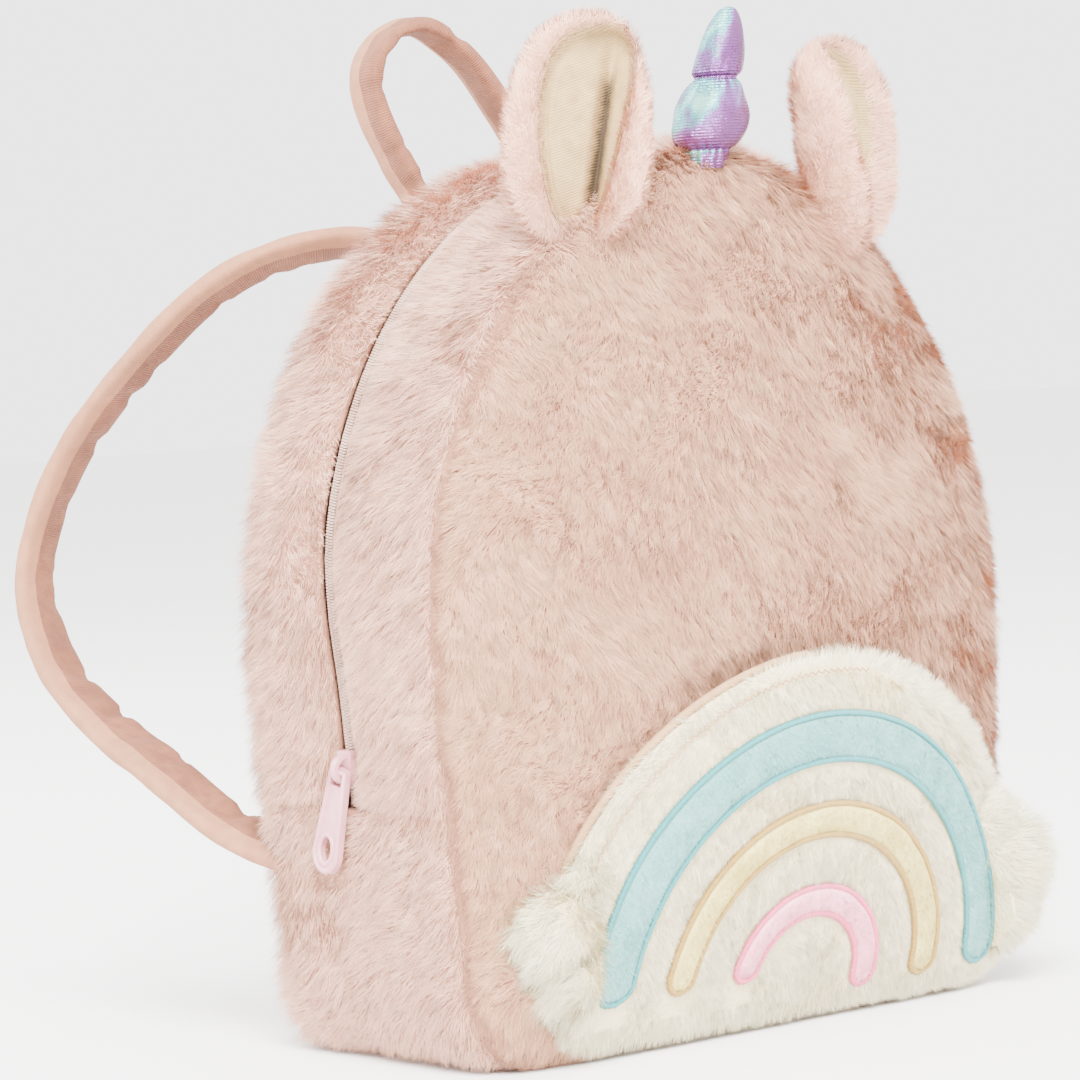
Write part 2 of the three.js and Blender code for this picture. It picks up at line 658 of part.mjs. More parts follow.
/** The outline of the cloud pocket: an arch on a flat foot. */
function pocketOutline() {
  const path = new THREE.Path();
  const rise = Math.asin((POCKET_CORNER_HEIGHT - POCKET_CENTRE_HEIGHT) / POCKET_RADIUS);
  const side = POCKET_RADIUS * Math.cos(rise);
  const height = POCKET_CENTRE_HEIGHT + POCKET_RADIUS * Math.sin(rise);
  const foot = POCKET_FOOT_WIDTH / 2;
  const corner = (foot + side) / 2 + foot / 8;
  path.moveTo(POCKET_SHIFT, POCKET_FOOT);
  path.lineTo(POCKET_SHIFT + foot, POCKET_FOOT);
  path.quadraticCurveTo(POCKET_SHIFT + corner, POCKET_FOOT, POCKET_SHIFT + side, height);
  path.absarc(POCKET_SHIFT, POCKET_CENTRE_HEIGHT, POCKET_RADIUS, rise, Math.PI - rise, false);
  path.quadraticCurveTo(POCKET_SHIFT - corner, POCKET_FOOT, POCKET_SHIFT - foot, POCKET_FOOT);
  path.lineTo(POCKET_SHIFT, POCKET_FOOT);
  return new Outline(path, new THREE.Vector2(POCKET_SHIFT, 0.4 * POCKET_RADIUS));
}

const POCKET = pocketOutline();

/** How far the pocket's back stands off the front panel below a point of the XZ plane. */
function pocketStandOff(x, z, reach) {
  const across = Math.min(Math.abs(x - POCKET_SHIFT) / POCKET_RADIUS, 1);
  const top = POCKET_CENTRE_HEIGHT + POCKET_RADIUS;
  const open = smooth(z, POCKET_FOOT, top * 0.85) * (1 - across ** 2);
  return CLEARANCE + POCKET_EASE * (1 - Math.min(reach, 1) ** 4) + POCKET_GAP * open;
}

/** Thickness of the pocket's wall, which rounds off towards its rim at a reach of 1. */
function pocketPadding(reach) {
  return POCKET_WALL * THREE.MathUtils.lerp(POCKET_EDGE, 1, Math.sqrt(1 - reach ** 8));
}

/** Depth of the pocket's outer face below a point of the XZ plane. */
function pocketFace(x, z) {
  const reach = Math.min(POCKET.reachOf(x, z), 1);
  return frontFace(x, z) - pocketStandOff(x, z, reach) - pocketPadding(reach);
}

/** The pocket's wall, or with a clearance a cutter that fills all between its face and the middle plane. */
function pocketWall(clearance = 0) {
  const ring = (reach, isOuter) => shares(POCKET_STEPS).slice(0, -1).map((share) => {
    const rim = POCKET.at(share, clearance);
    const place = POCKET.centre.clone().lerp(rim, reach);
    const back = frontFace(place.x, place.y) - pocketStandOff(place.x, place.y, reach);
    const front = back - pocketPadding(reach);
    const behind = clearance > 0 ? 0 : back;
    return new THREE.Vector3(place.x, isOuter ? front - clearance : behind, place.y);
  });
  return loft([
    [ring(0, true)[0]],
    ...[0.35, 0.6, 0.78, 0.9, 0.97, 1].map((reach) => ring(reach, true)),
    ...[1, 0.92, 0.78, 0.55, 0.3].map((reach) => ring(reach, false)),
    [ring(0, false)[0]],
  ]);
}

/** One padded band of the rainbow, lying on the pocket's face. */
function rainbowBand(band) {
  const radius = band.radius * POCKET_RADIUS;
  const width = band.width * POCKET_RADIUS;
  const from = Math.asin((BAND_FOOT_RIGHT - POCKET_CENTRE_HEIGHT) / radius);
  const to = Math.PI - Math.asin((BAND_FOOT_LEFT - POCKET_CENTRE_HEIGHT) / radius);
  const across = [-1, -0.6, 0, 0.6, 1];
  return loft(shares(BAND_STEPS).map((share) => {
    const angle = THREE.MathUtils.lerp(from, to, share);
    const fromEnd = Math.min(share, 1 - share) * radius * (to - from) / (width / 2);
    const half = width / 2 * Math.sqrt(1 - (1 - Math.min(fromEnd + 0.15, 1)) ** 2);
    const place = (offset, level) => {
      const x = RAINBOW_SHIFT + (radius + offset * half) * Math.cos(angle);
      const z = POCKET_CENTRE_HEIGHT + (radius + offset * half) * Math.sin(angle);
      return new THREE.Vector3(x, pocketFace(x, z) - CLEARANCE - level, z);
    };
    const crown = (offset) => BAND_THICKNESS * (1 - 0.5 * offset ** 2);
    return [
      ...across.map((offset) => place(offset, crown(offset))),
      ...across.toReversed().map((offset) => place(offset, 0)),
    ];
  }));
}

/** One lock of the long fur: a curved spike from its root, drooping towards its tip. */
function furLock(root, direction, length, radius) {
  const aside = new THREE.Vector3(direction.z, 0, -direction.x).normalize();
  const over = direction.clone().cross(aside);
  const girth = [
    { along: 0, radius: 1 },
    { along: 0.6, radius: 0.85 },
    { along: 0.88, radius: 0.5 },
  ];
  const middle = (along) => root.clone().addScaledVector(direction, along * length)
    .add(new THREE.Vector3(0, 0, -0.15 * length * along ** 2));
  const rings = girth.map((row) => shares(LOCK_SIDES).slice(0, -1).map((step) => {
    const angle = 2 * Math.PI * step;
    return middle(row.along)
      .addScaledVector(aside, row.radius * radius * Math.cos(angle))
      .addScaledVector(over, row.radius * radius * Math.sin(angle));
  }));
  return loft([...rings, [middle(1)]]);
}

/** A cloud puff of long fur: three round heads with locks on their outer side. */
function cloudPuff(side) {
  const heads = [
    { aside: -0.1, up: 0.15, size: 0.85 },
    { aside: 0, up: 0.03, size: 1.05 },
    { aside: -0.06, up: -0.1, size: 1 },
  ];
  let puff = null;
  for (const head of heads) {
    const radius = head.size * PUFF_RADIUS;
    const x = RAINBOW_SHIFT + side * (PUFF_SPREAD + head.aside * POCKET_RADIUS);
    const z = PUFF_HEIGHT + head.up * POCKET_RADIUS;
    const centre = new THREE.Vector3(x, -SEAM - 0.55 * radius, z);
    const ball = new THREE.SphereGeometry(radius, 10, 6).translate(centre.x, centre.y, centre.z);
    puff = puff ? puff.add(toSolid(ball)) : toSolid(ball);
    for (const step of shares(LOCKS_PER_HEAD - 1)) {
      const turn = LOCK_FAN * (step - 0.5);
      const direction = new THREE.Vector3(side * Math.cos(turn), -0.35, Math.sin(turn)).normalize();
      const root = centre.clone().addScaledVector(direction, radius - 0.75 * LOCK_LENGTH);
      const lock = furLock(root, direction, LOCK_LENGTH, head.size * LOCK_RADIUS);
      puff = puff.add(toSolid(lock));
    }
  }
  return puff;
}

/** The largest of the bodies that a solid falls into. */
function largestBody(solid) {
  return solid.decompose().reduce((best, body) => (body.volume() > best.volume() ? body : best));
}

/** A round cutter through the pocket that keeps the puffs off the rainbow. */
function rainbowCutter() {
  const [outermost] = BANDS;
  const radius = (outermost.radius + outermost.width / 2) * POCKET_RADIUS + 3 * CLEARANCE;
  const length = 4 * BODY_DEPTH;
  return toSolid(new THREE.CylinderGeometry(radius, radius, length, 48)
    .translate(RAINBOW_SHIFT, 0, POCKET_CENTRE_HEIGHT));
}

/** The pocket, its rainbow and the puffs at its sides. */
function addPocket() {
  addPart('pocket', pocketWall(), CREAM_PLUSH);
  for (const band of BANDS) addPart(`band_${band.name}`, rainbowBand(band), band.material);
  const pocketCutter = toSolid(pocketWall(CLEARANCE));
  for (const { name, side } of SIDES) {
    const puff = cloudPuff(side).subtract(ENVELOPE).subtract(pocketCutter).subtract(rainbowCutter());
    addPart(`cloud_puff_${name}`, toGeometry(largestBody(puff)), CREAM_PLUSH);
  }
}

/** A padded band along a curve. widthAt gives the direction of its width at a point of the curve. */
function paddedBand(curve, steps, width, thickness, widthAt) {
  const corner = [
    { across: 0.86, level: 0.91 },
    { across: 1, level: 0.32 },
    { across: 1, level: -0.32 },
    { across: 0.86, level: -0.91 },
  ];
  const loop = [
    ...corner,
    { across: 0, level: -1 },
    ...corner.toReversed().map((row) => ({ across: -row.across, level: row.level })),
    { across: 0, level: 1 },
  ];
  return loft(shares(steps).map((share) => {
    const middle = curve.getPointAt(share);
    const along = curve.getTangentAt(share);
    const level = along.clone().cross(widthAt(middle)).normalize();
    const aside = level.clone().cross(along).normalize();
    return loop.map((row) => middle.clone()
      .addScaledVector(aside, row.across * width / 2)
      .addScaledVector(level, row.level * thickness / 2));
  }));
}

/** A shoulder strap, from the top of the back panel out and down to the foot of the back seam. */
function addStrap({ name, side }) {
  const route = [
    { out: 0, back: -0.04, up: 0.96 },
    { out: 0.02, back: 0.14, up: 0.98 },
    { out: 0.14, back: 0.31, up: 1.08 },
    { out: 0.47, back: 0.5, up: 1.04 },
    { out: 0.72, back: 0.76, up: 0.86 },
    { out: 0.86, back: 0.96, up: 0.67 },
    { out: 0.95, back: 1, up: 0.49 },
    { out: 1, back: 0.84, up: 0.33 },
    { out: 1, back: 0.6, up: 0.22 },
    { out: 0.98, back: 0.35, up: 0.14 },
    { out: 0.93, back: 0.12, up: 0.05 },
    { out: 0.86, back: -0.05, up: 0 },
  ];
  const handleFoot = HANDLE_FOOT_HEIGHT - HANDLE_TUCK * HANDLE_HEIGHT;
  const top = handleFoot - STRAP_THICKNESS / 2 - STRAP_UNDER_HANDLE;
  const curve = new THREE.CatmullRomCurve3(route.map(({ out, back, up }) => new THREE.Vector3(
    side * THREE.MathUtils.lerp(STRAP_TOP_SPREAD, STRAP_SPLAY, out),
    SEAM + back * STRAP_REACH,
    THREE.MathUtils.lerp(STRAP_FOOT_HEIGHT, top, up))));
  const loopCentre = new THREE.Vector3(
    side * 0.7 * STRAP_SPLAY, SEAM + 0.2 * STRAP_REACH, (STRAP_FOOT_HEIGHT + top) / 2);
  const turn = THREE.MathUtils.degToRad(STRAP_TURN);
  const tilt = THREE.MathUtils.degToRad(STRAP_TILT);
  const facing = new THREE.Vector3(side * Math.sin(turn), -Math.cos(turn), 0);
  const widthAt = (middle) => middle.clone().sub(loopCentre).projectOnPlane(facing).normalize()
    .multiplyScalar(Math.sin(tilt)).addScaledVector(facing, Math.cos(tilt));
  const strap = paddedBand(curve, STRAP_STEPS, STRAP_WIDTH, STRAP_THICKNESS, widthAt);
  addPart(`strap_${name}`, trimmed(strap, ENVELOPE), PINK_VELVET);
}

/** The grab handle, a loop that flops over to the left. */
function addHandle() {
  const route = [
    { aside: -0.95, back: 0, up: -HANDLE_TUCK },
    { aside: -1.1, back: 0.45, up: 0.14 },
    { aside: -1.28, back: 0.8, up: 0.36 },
    { aside: -1.5, back: 0.95, up: 0.6 },
    { aside: -1.52, back: 1, up: 0.8 },
    { aside: -1.2, back: 1, up: 0.95 },
    { aside: -0.72, back: 1, up: 1 },
    { aside: -0.22, back: 0.98, up: 0.9 },
    { aside: 0.24, back: 0.93, up: 0.7 },
    { aside: 0.64, back: 0.8, up: 0.45 },
    { aside: 1, back: 0.45, up: 0.15 },
    { aside: 1.02, back: 0, up: -HANDLE_TUCK },
  ];
  const curve = new THREE.CatmullRomCurve3(route.map(({ aside, back, up }) => new THREE.Vector3(
    aside * HANDLE_SPREAD, SEAM + back * HANDLE_REACH, HANDLE_FOOT_HEIGHT + up * HANDLE_HEIGHT)));
  const widthAt = () => new THREE.Vector3(0, 1, 0);
  const handle = paddedBand(curve, HANDLE_STEPS, HANDLE_WIDTH, HANDLE_THICKNESS, widthAt);
  addPart('grab_handle', trimmed(handle, ENVELOPE), PINK_VELVET);
}

addBody();
addZipTape();
addZipSlider();
addZipPull();
for (const ear of EARS) addEar(ear);
addHorn();
addPocket();
for (const side of SIDES) addStrap(side);
addHandle();

export default model;
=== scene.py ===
"""The looks of a small plush unicorn backpack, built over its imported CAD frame.

Lengths are in millimetres until a mesh is made."""

import math

import bpy
import numpy as np
from mathutils import Matrix, Vector


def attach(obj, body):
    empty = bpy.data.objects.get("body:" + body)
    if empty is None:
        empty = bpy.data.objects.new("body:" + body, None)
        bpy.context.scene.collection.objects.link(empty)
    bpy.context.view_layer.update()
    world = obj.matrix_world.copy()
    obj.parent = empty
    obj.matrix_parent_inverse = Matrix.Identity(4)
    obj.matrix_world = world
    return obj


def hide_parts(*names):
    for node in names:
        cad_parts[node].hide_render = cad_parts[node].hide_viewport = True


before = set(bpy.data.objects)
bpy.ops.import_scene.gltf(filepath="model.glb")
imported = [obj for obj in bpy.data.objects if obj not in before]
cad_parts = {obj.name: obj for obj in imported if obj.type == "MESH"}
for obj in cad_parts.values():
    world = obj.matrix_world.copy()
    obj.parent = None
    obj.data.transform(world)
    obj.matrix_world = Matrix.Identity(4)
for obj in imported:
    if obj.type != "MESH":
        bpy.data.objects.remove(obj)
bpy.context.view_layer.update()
rng = np.random.default_rng(7)
DENSITY = 1.0  # share of the fur that is grown

# Sizes of the CAD model, in millimetres
HEIGHT, WIDTH, BASE, CORNER, ARCH, DEPTH = 266.0, 222.0, 211.0, 26.0, 128.0, 96.0
HORN_ROWS, HORN_SIDES = 92, 76
CREASE_LEAN = 0.6
PUFF_OUT, PUFF_UP, PUFF_RADIUS = 91.0, 38, 14.0
STRAP_TOP_OUT, STRAP_OUT, STRAP_BACK, STRAP_FOOT = 20, 123, 116, 62.0
HANDLE_FOOT, HANDLE_HEIGHT = 249, 68
FRONT_CROWN, BACK_CROWN, SIDE_CROWN = 18.0, 11.0, 4.0
SEAM = DEPTH / 2 + 0.15
ZIP_END, ZIP_OPENING, ZIP_SETBACK, ZIP_DIP = 78.0, 8.0, 7.0, 3.0
ZIP_STRAIGHT = 78.0 + 12.0 + 11.0  # height below which the zip runs down the middle
EAR_HEIGHT, EAR_WIDTH, EAR_THICK, EAR_FOLD, EAR_TURN = 66.0, 41.0, 10.0, 24.0, math.radians(48)
EARS = {"left": (-1, 0.206, 0.171), "right": (1, 0.216, 0.265)}
HORN_HEIGHT, HORN_RADIUS = 46.0, 11.3
POCKET_RADIUS, POCKET_Z, POCKET_X, RAINBOW_X = 99.5, 15.0, 11.0, 9.5
POCKET_FOOT, POCKET_FOOT_WIDTH, POCKET_EASE, POCKET_WALL, POCKET_GAP = 3.0, 150.0, 1.2, 4.0, 9.0
BANDS = {"blue": (75.3, 14.0), "yellow": (50.0, 9.5), "pink": (25.0, 8.5)}
BAND_FEET = (10.0, 18.0)


# Camera, lights and floor

def add_camera():
    """The photograph's camera: seen from the front left, a little above."""
    focal, aside, lift, away = 4069.2, -28.07, 14.72, 1279.5
    turn, pitch, roll = map(math.radians, (37.53, 3.05, -3.21))
    forward = Vector((math.sin(turn) * math.cos(pitch), math.cos(turn) * math.cos(pitch), -math.sin(pitch)))
    level = Vector((math.cos(turn), -math.sin(turn), 0))
    above = level.cross(forward)
    right = level * math.cos(roll) + above * math.sin(roll)
    up = above * math.cos(roll) - level * math.sin(roll)
    place = Vector((0, 0, 135)) + level * 0 + right * aside + up * lift - forward * away
    camera = bpy.data.objects.new("camera", bpy.data.cameras.new("camera"))
    camera.data.sensor_width = 36
    camera.data.lens = focal / 1080 * 36
    camera.data.clip_end = 20
    turned = Matrix((right, up, -forward)).transposed().to_4x4()
    camera.matrix_world = Matrix.Translation(place / 1000) @ turned
    bpy.context.scene.collection.objects.link(camera)
    bpy.context.scene.camera = camera


def add_light(name, place, aim, size, power, colour=(1, 1, 1)):
    lamp = bpy.data.lights.new(name, "AREA")
    lamp.size = size
    lamp.energy = power
    lamp.color = colour
    light = bpy.data.objects.new(name, lamp)
    light.location = place
    light.rotation_euler = (Vector(aim) - Vector(place)).to_track_quat("-Z", "Y").to_euler()
    bpy.context.scene.collection.objects.link(light)


def add_studio():
    world = bpy.data.worlds.new("studio")
    world.use_nodes = True
    world.node_tree.nodes["Background"].inputs["Color"].default_value = (1, 1, 1, 1)
    world.node_tree.nodes["Background"].inputs["Strength"].default_value = 3.5
    bpy.context.scene.world = world
    add_light("key", (-0.9, -1.3, 1.5), (0, 0, 0.13), 1.0, 250, (1, 0.985, 0.96))
    add_light("fill", (1.5, -1.0, 0.7), (0, 0, 0.12), 1.4, 30)
    add_light("rim", (-0.6, 1.4, 1.0), (0, 0, 0.15), 1.0, 44)
    floor = bpy.data.meshes.new("floor")
    s = 6.0
    floor.from_pydata([(-s, -s, 0), (s, -s, 0), (s, s, 0), (-s, s, 0)], [], [(0, 1, 2, 3)])
    stage = bpy.data.objects.new("floor", floor)
    bpy.context.scene.collection.objects.link(stage)
    mat = bpy.data.materials.new("floor")
    mat.use_nodes = True
    shader = mat.node_tree.nodes["Principled BSDF"]
    shader.inputs["Base Color"].default_value = (0.93, 0.92, 0.91, 1)
    shader.inputs["Roughness"].default_value = 0.9
    floor.materials.append(mat)


# Materials

def linear(hex_colour):
    """Scene-linear RGB of an sRGB colour."""
    values = [int(hex_colour[i:i + 2], 16) / 255 for i in (0, 2, 4)]
    return tuple(v / 12.92 if v <= 0.04045 else ((v + 0.055) / 1.055) ** 2.4 for v in values) + (1,)


class Nodes:
    """A short way to write a material's nodes."""

    def __init__(self, name, roughness=0.9):
        self.mat = bpy.data.materials.new(name)
        self.mat.use_nodes = True
        self.tree = self.mat.node_tree
        self.shader = self.tree.nodes["Principled BSDF"]
        self.shader.inputs["Roughness"].default_value = roughness

    def add(self, kind, inputs=None, **settings):
        node = self.tree.nodes.new(kind)
        for key, value in settings.items():
            setattr(node, key, value)
        for key, value in (inputs or {}).items():
            if isinstance(value, bpy.types.NodeSocket):
                self.tree.links.new(value, node.inputs[key])
            else:
                node.inputs[key].default_value = value
        return node

    def link(self, a, b):
        self.tree.links.new(a, b)

    def place(self, source="Object"):
        return self.add("ShaderNodeTexCoord").outputs[source]

    def noise(self, scale, detail=3.0, stretch=None, source=None, roughness=0.5):
        coordinates = source or self.place()
        if stretch:
            coordinates = self.add("ShaderNodeMapping", {"Vector": coordinates, "Scale": stretch}).outputs[0]
        return self.add("ShaderNodeTexNoise", {
            "Vector": coordinates, "Scale": scale, "Detail": detail, "Roughness": roughness}).outputs["Fac"]

    def ramp(self, factor, stops):
        node = self.add("ShaderNodeValToRGB", {"Fac": factor})
        while len(node.color_ramp.elements) < len(stops):
            node.color_ramp.elements.new(0.5)
        for element, (position, colour) in zip(node.color_ramp.elements, stops):
            element.position = position
            element.color = linear(colour) if isinstance(colour, str) else colour
        return node.outputs["Color"]

    def bump(self, height, strength, distance, normal=None):
        inputs = {"Height": height, "Strength": strength, "Distance": distance}
        if normal is not None:
            inputs["Normal"] = normal
        return self.add("ShaderNodeBump", inputs).outputs["Normal"]

    def sheen(self, weight, colour, roughness=0.4):
        self.shader.inputs["Sheen Weight"].default_value = weight
        self.shader.inputs["Sheen Tint"].default_value = linear(colour)
        self.shader.inputs["Sheen Roughness"].default_value = roughness


def plush_ground(name, light, dark):
    """The backing that shows between the hairs: mottled, darker than the pile as painted shade of the pile's depths.
    """
    n = Nodes(name, 1.0)
    n.link(n.ramp(n.noise(90, 4), [(0.3, dark), (0.7, light)]), n.shader.inputs["Base Color"])
    n.link(n.bump(n.noise(900, 2), 0.6, 0.001), n.shader.inputs["Normal"])
    return n.mat


def hair(name, colour, shine="f6e9e0"):
    """One tone of the pile's hairs."""
    n = Nodes(name, 0.72)
    n.shader.inputs["Base Color"].default_value = linear(colour)
    n.shader.inputs["Specular IOR Level"].default_value = 0.25
    n.sheen(0.12, shine, 0.5)
    return n.mat


def velvet(name, light, dark, pitch=0.75, ribs=True, crease=None):
    """Velvet with fine cross ribs, running along the piece's own UV map (metres along it in v).
    crease, if given, is the colour of a painted shadow along u = 0.
    """
    n = Nodes(name, 0.82)
    uv = n.place("UV")
    mottled = n.noise(260, 4)
    cloudy = n.noise(45, 2)
    mix = n.add("ShaderNodeMath", {0: mottled, 1: cloudy}, operation="MULTIPLY_ADD")
    mix.inputs[2].default_value = 0.22
    height = n.noise(2200, 2)
    if ribs:
        wave = n.add("ShaderNodeTexWave", {
            "Vector": uv, "Scale": 0.3142 / (pitch / 1000), "Distortion": 1.2, "Detail": 1.0, "Detail Scale": 2.0},
            wave_type="BANDS", bands_direction="Y")
        join = n.add("ShaderNodeMath", {0: wave.outputs["Fac"], 1: 0.7}, operation="MULTIPLY")
        height = n.add("ShaderNodeMath", {0: join.outputs[0], 1: height}, operation="ADD").outputs[0]
        shade = n.add("ShaderNodeMath", {0: wave.outputs["Fac"], 1: 0.18, 2: mix.outputs[0]}, operation="MULTIPLY_ADD")
        mix = shade
    stops = [(0.25, dark), (0.75, light)]
    if crease:
        # painted shade of a fold that runs along u = 0: darkest on the line, gone 3.3 mm from it
        across = n.add("ShaderNodeSeparateXYZ", {0: uv}).outputs["X"]
        away = n.add("ShaderNodeMath", {0: across}, operation="ABSOLUTE").outputs[0]
        short_of = n.add("ShaderNodeMath", {0: away, 1: 300.0, 2: -1.0}, operation="MULTIPLY_ADD").outputs[0]
        below = n.add("ShaderNodeMath", {0: short_of, 1: 0.0}, operation="MINIMUM").outputs[0]
        mix = n.add("ShaderNodeMath", {0: below, 1: 0.75, 2: mix.outputs[0]}, operation="MULTIPLY_ADD")
        stops = [(0.0, crease)] + stops
    n.link(n.ramp(mix.outputs[0], stops), n.shader.inputs["Base Color"])
    n.link(n.bump(height, 0.55, 0.0004), n.shader.inputs["Normal"])
    n.sheen(0.2, light, 0.35)
    return n.mat


def horn_cloth(name):
    """Metallic knit in lilac with teal and pink lights, ribbed across.
    The teal is a painted highlight, laid where the surface faces up and to the left.
    """
    n = Nodes(name, 0.3)
    uv = n.place("UV")
    blotch = n.noise(95, 4, stretch=(1, 1, 0.7))
    # painted highlight: the colour shifts toward teal where the normal points up and to the left, toward the key light
    tilt = n.add("ShaderNodeSeparateXYZ", {0: n.add("ShaderNodeNewGeometry").outputs["Normal"]})
    lean = n.add("ShaderNodeMath", {0: tilt.outputs["X"], 1: -0.22, 2: 0.0}, operation="MULTIPLY_ADD")
    rise = n.add("ShaderNodeMath", {0: tilt.outputs["Z"], 1: 0.22, 2: lean.outputs[0]}, operation="MULTIPLY_ADD")
    factor = n.add("ShaderNodeMath", {0: blotch, 1: rise.outputs[0]}, operation="ADD")
    n.link(n.ramp(factor.outputs[0], [
        (0.3, "55275b"), (0.58, "67356f"), (0.7, "75508c"), (0.8, "4f9ea3"), (0.92, "93d2c6")]),
        n.shader.inputs["Base Color"])
    wave = n.add("ShaderNodeTexWave", {
        "Vector": uv, "Scale": 0.3142 / 0.00085, "Distortion": 1.6, "Detail": 1.0, "Detail Scale": 3.0},
        wave_type="BANDS", bands_direction="Y")
    grain = n.noise(3000, 1)
    both = n.add("ShaderNodeMath", {0: grain, 1: 0.5, 2: wave.outputs["Fac"]}, operation="MULTIPLY_ADD")
    crinkle = n.bump(n.noise(330, 3), 0.5, 0.0012)
    n.link(n.bump(both.outputs[0], 0.7, 0.0004, crinkle), n.shader.inputs["Normal"])
    rough = n.add("ShaderNodeMapRange", {"Value": n.noise(500, 2), "To Min": 0.22, "To Max": 0.42})
    n.link(rough.outputs[0], n.shader.inputs["Roughness"])
    n.shader.inputs["Metallic"].default_value = 0.72
    n.shader.inputs["Coat Weight"].default_value = 0.15
    return n.mat


def moulded(name, light, dark):
    """Glossy moulded plastic with faint clouding."""
    n = Nodes(name, 0.33)
    n.link(n.ramp(n.noise(120, 2), [(0.3, dark), (0.7, light)]), n.shader.inputs["Base Color"])
    rough = n.add("ShaderNodeMapRange", {"Value": n.noise(300, 2), "To Min": 0.26, "To Max": 0.4})
    n.link(rough.outputs[0], n.shader.inputs["Roughness"])
    n.shader.inputs["Subsurface Weight"].default_value = 0.08
    n.shader.inputs["Subsurface Radius"].default_value = (0.004, 0.002, 0.002)
    return n.mat


def woven(name, light, dark, pitch=0.6):
    """A plain woven tape."""
    n = Nodes(name, 0.85)
    warp = n.add("ShaderNodeTexWave", {"Vector": n.place(), "Scale": 0.3142 / (pitch / 1000)},
                 wave_type="BANDS", bands_direction="Z")
    weft = n.add("ShaderNodeTexWave", {"Vector": n.place(), "Scale": 0.3142 / (pitch / 1000)},
                 wave_type="BANDS", bands_direction="Y")
    cross = n.add("ShaderNodeMath", {0: warp.outputs["Fac"], 1: weft.outputs["Fac"]}, operation="MULTIPLY")
    n.link(n.ramp(cross.outputs[0], [(0.0, dark), (0.7, light)]), n.shader.inputs["Base Color"])
    n.link(n.bump(cross.outputs[0], 0.5, 0.0003), n.shader.inputs["Normal"])
    return n.mat


# Meshes

def new_piece(name, points, faces, mats, uv=None, tones=None, body="bag"):
    """A mesh piece that rides on a body. points are in millimetres, faces a list or array of corners."""
    mesh = bpy.data.meshes.new(name)
    mesh.from_pydata((np.asarray(points) / 1000).tolist(), [], [list(map(int, f)) for f in faces])
    mesh.polygons.foreach_set("use_smooth", np.ones(len(mesh.polygons), bool))
    for mat in mats:
        mesh.materials.append(mat)
    if tones is not None:
        mesh.polygons.foreach_set("material_index", np.asarray(tones, np.int32))
    if uv is not None:
        layer = mesh.uv_layers.new(name="UVMap")
        corner = np.empty(len(mesh.loops), np.int32)
        mesh.loops.foreach_get("vertex_index", corner)
        layer.data.foreach_set("uv", np.asarray(uv, np.float32)[corner].ravel())
    mesh.update()
    piece = bpy.data.objects.new(name, mesh)
    bpy.context.scene.collection.objects.link(piece)
    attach(piece, body)
    return piece


def grid_faces(rows, columns, wrap=False):
    """Quads of a grid of points in rows. wrap joins each row's end to its start."""
    row, column = np.meshgrid(np.arange(rows - 1), np.arange(columns if wrap else columns - 1), indexing="ij")
    a = row * columns + column
    b = row * columns + (column + 1) % columns
    return np.stack([a, b, b + columns, a + columns], -1).reshape(-1, 4)


def smooth_noise(points, scale, seed, layers=9):
    """Smooth noise of about -1 to 1 whose features are about scale millimetres wide."""
    source = np.random.default_rng(seed)
    total = np.zeros(len(points))
    for _ in range(layers):
        direction = source.normal(size=3)
        direction /= np.linalg.norm(direction)
        rate = 2 * math.pi / scale * source.uniform(0.6, 1.6)
        total += np.sin(points @ direction * rate + source.uniform(0, 6.28))
    return total / math.sqrt(layers / 2) / 1.7


def unit(vectors):
    return vectors / np.maximum(np.linalg.norm(vectors, axis=-1, keepdims=True), 1e-9)


def smoothstep(value, low, high):
    share = np.clip((value - low) / (high - low), 0, 1)
    return share * share * (3 - 2 * share)


class Outline:
    """A closed outline in the XZ plane by its share of the way round, anticlockwise from the bottom."""

    def __init__(self, points, centre):
        points = np.asarray(points, float)
        steps = np.linalg.norm(np.diff(points, axis=0, append=points[:1]), axis=1)
        keep = steps > 1e-6
        self.points = points[keep]
        steps = steps[keep]
        self.length = steps.sum()
        self.share = np.concatenate([[0], np.cumsum(steps)]) / self.length
        self.closed = np.vstack([self.points, self.points[:1]])
        self.centre = np.asarray(centre, float)
        arm = self.points - self.centre
        angle = np.arctan2(arm[:, 1], arm[:, 0])
        order = np.argsort(angle)
        self.angles, self.reaches = angle[order], np.linalg.norm(arm, axis=1)[order]

    def at(self, share):
        share = np.mod(share, 1)
        return np.stack([np.interp(share, self.share, self.closed[:, k]) for k in (0, 1)], -1)

    def normal(self, share):
        tangent = self.at(np.asarray(share) + 2e-3) - self.at(np.asarray(share) - 2e-3)
        return unit(np.stack([tangent[..., 1], -tangent[..., 0]], -1))

    def reach_of(self, x, z):
        arm = np.stack([x, z], -1) - self.centre
        reach = np.interp(np.arctan2(arm[..., 1], arm[..., 0]), self.angles, self.reaches, period=2 * math.pi)
        return np.linalg.norm(arm, axis=-1) / reach

    def share_at_height(self, height):
        shares = np.linspace(0, 0.5, 4000)
        return float(np.interp(height, self.at(shares)[:, 1], shares))


def bezier(*controls, steps=60):
    """Points of a Bezier curve with 3 or 4 controls."""
    t = np.linspace(0, 1, steps, endpoint=False)[:, None]
    weights = {3: ((1 - t) ** 2, 2 * t * (1 - t), t * t),
               4: ((1 - t) ** 3, 3 * t * (1 - t) ** 2, 3 * t * t * (1 - t), t ** 3)}[len(controls)]
    return sum(w * np.asarray(c, float) for w, c in zip(weights, controls))


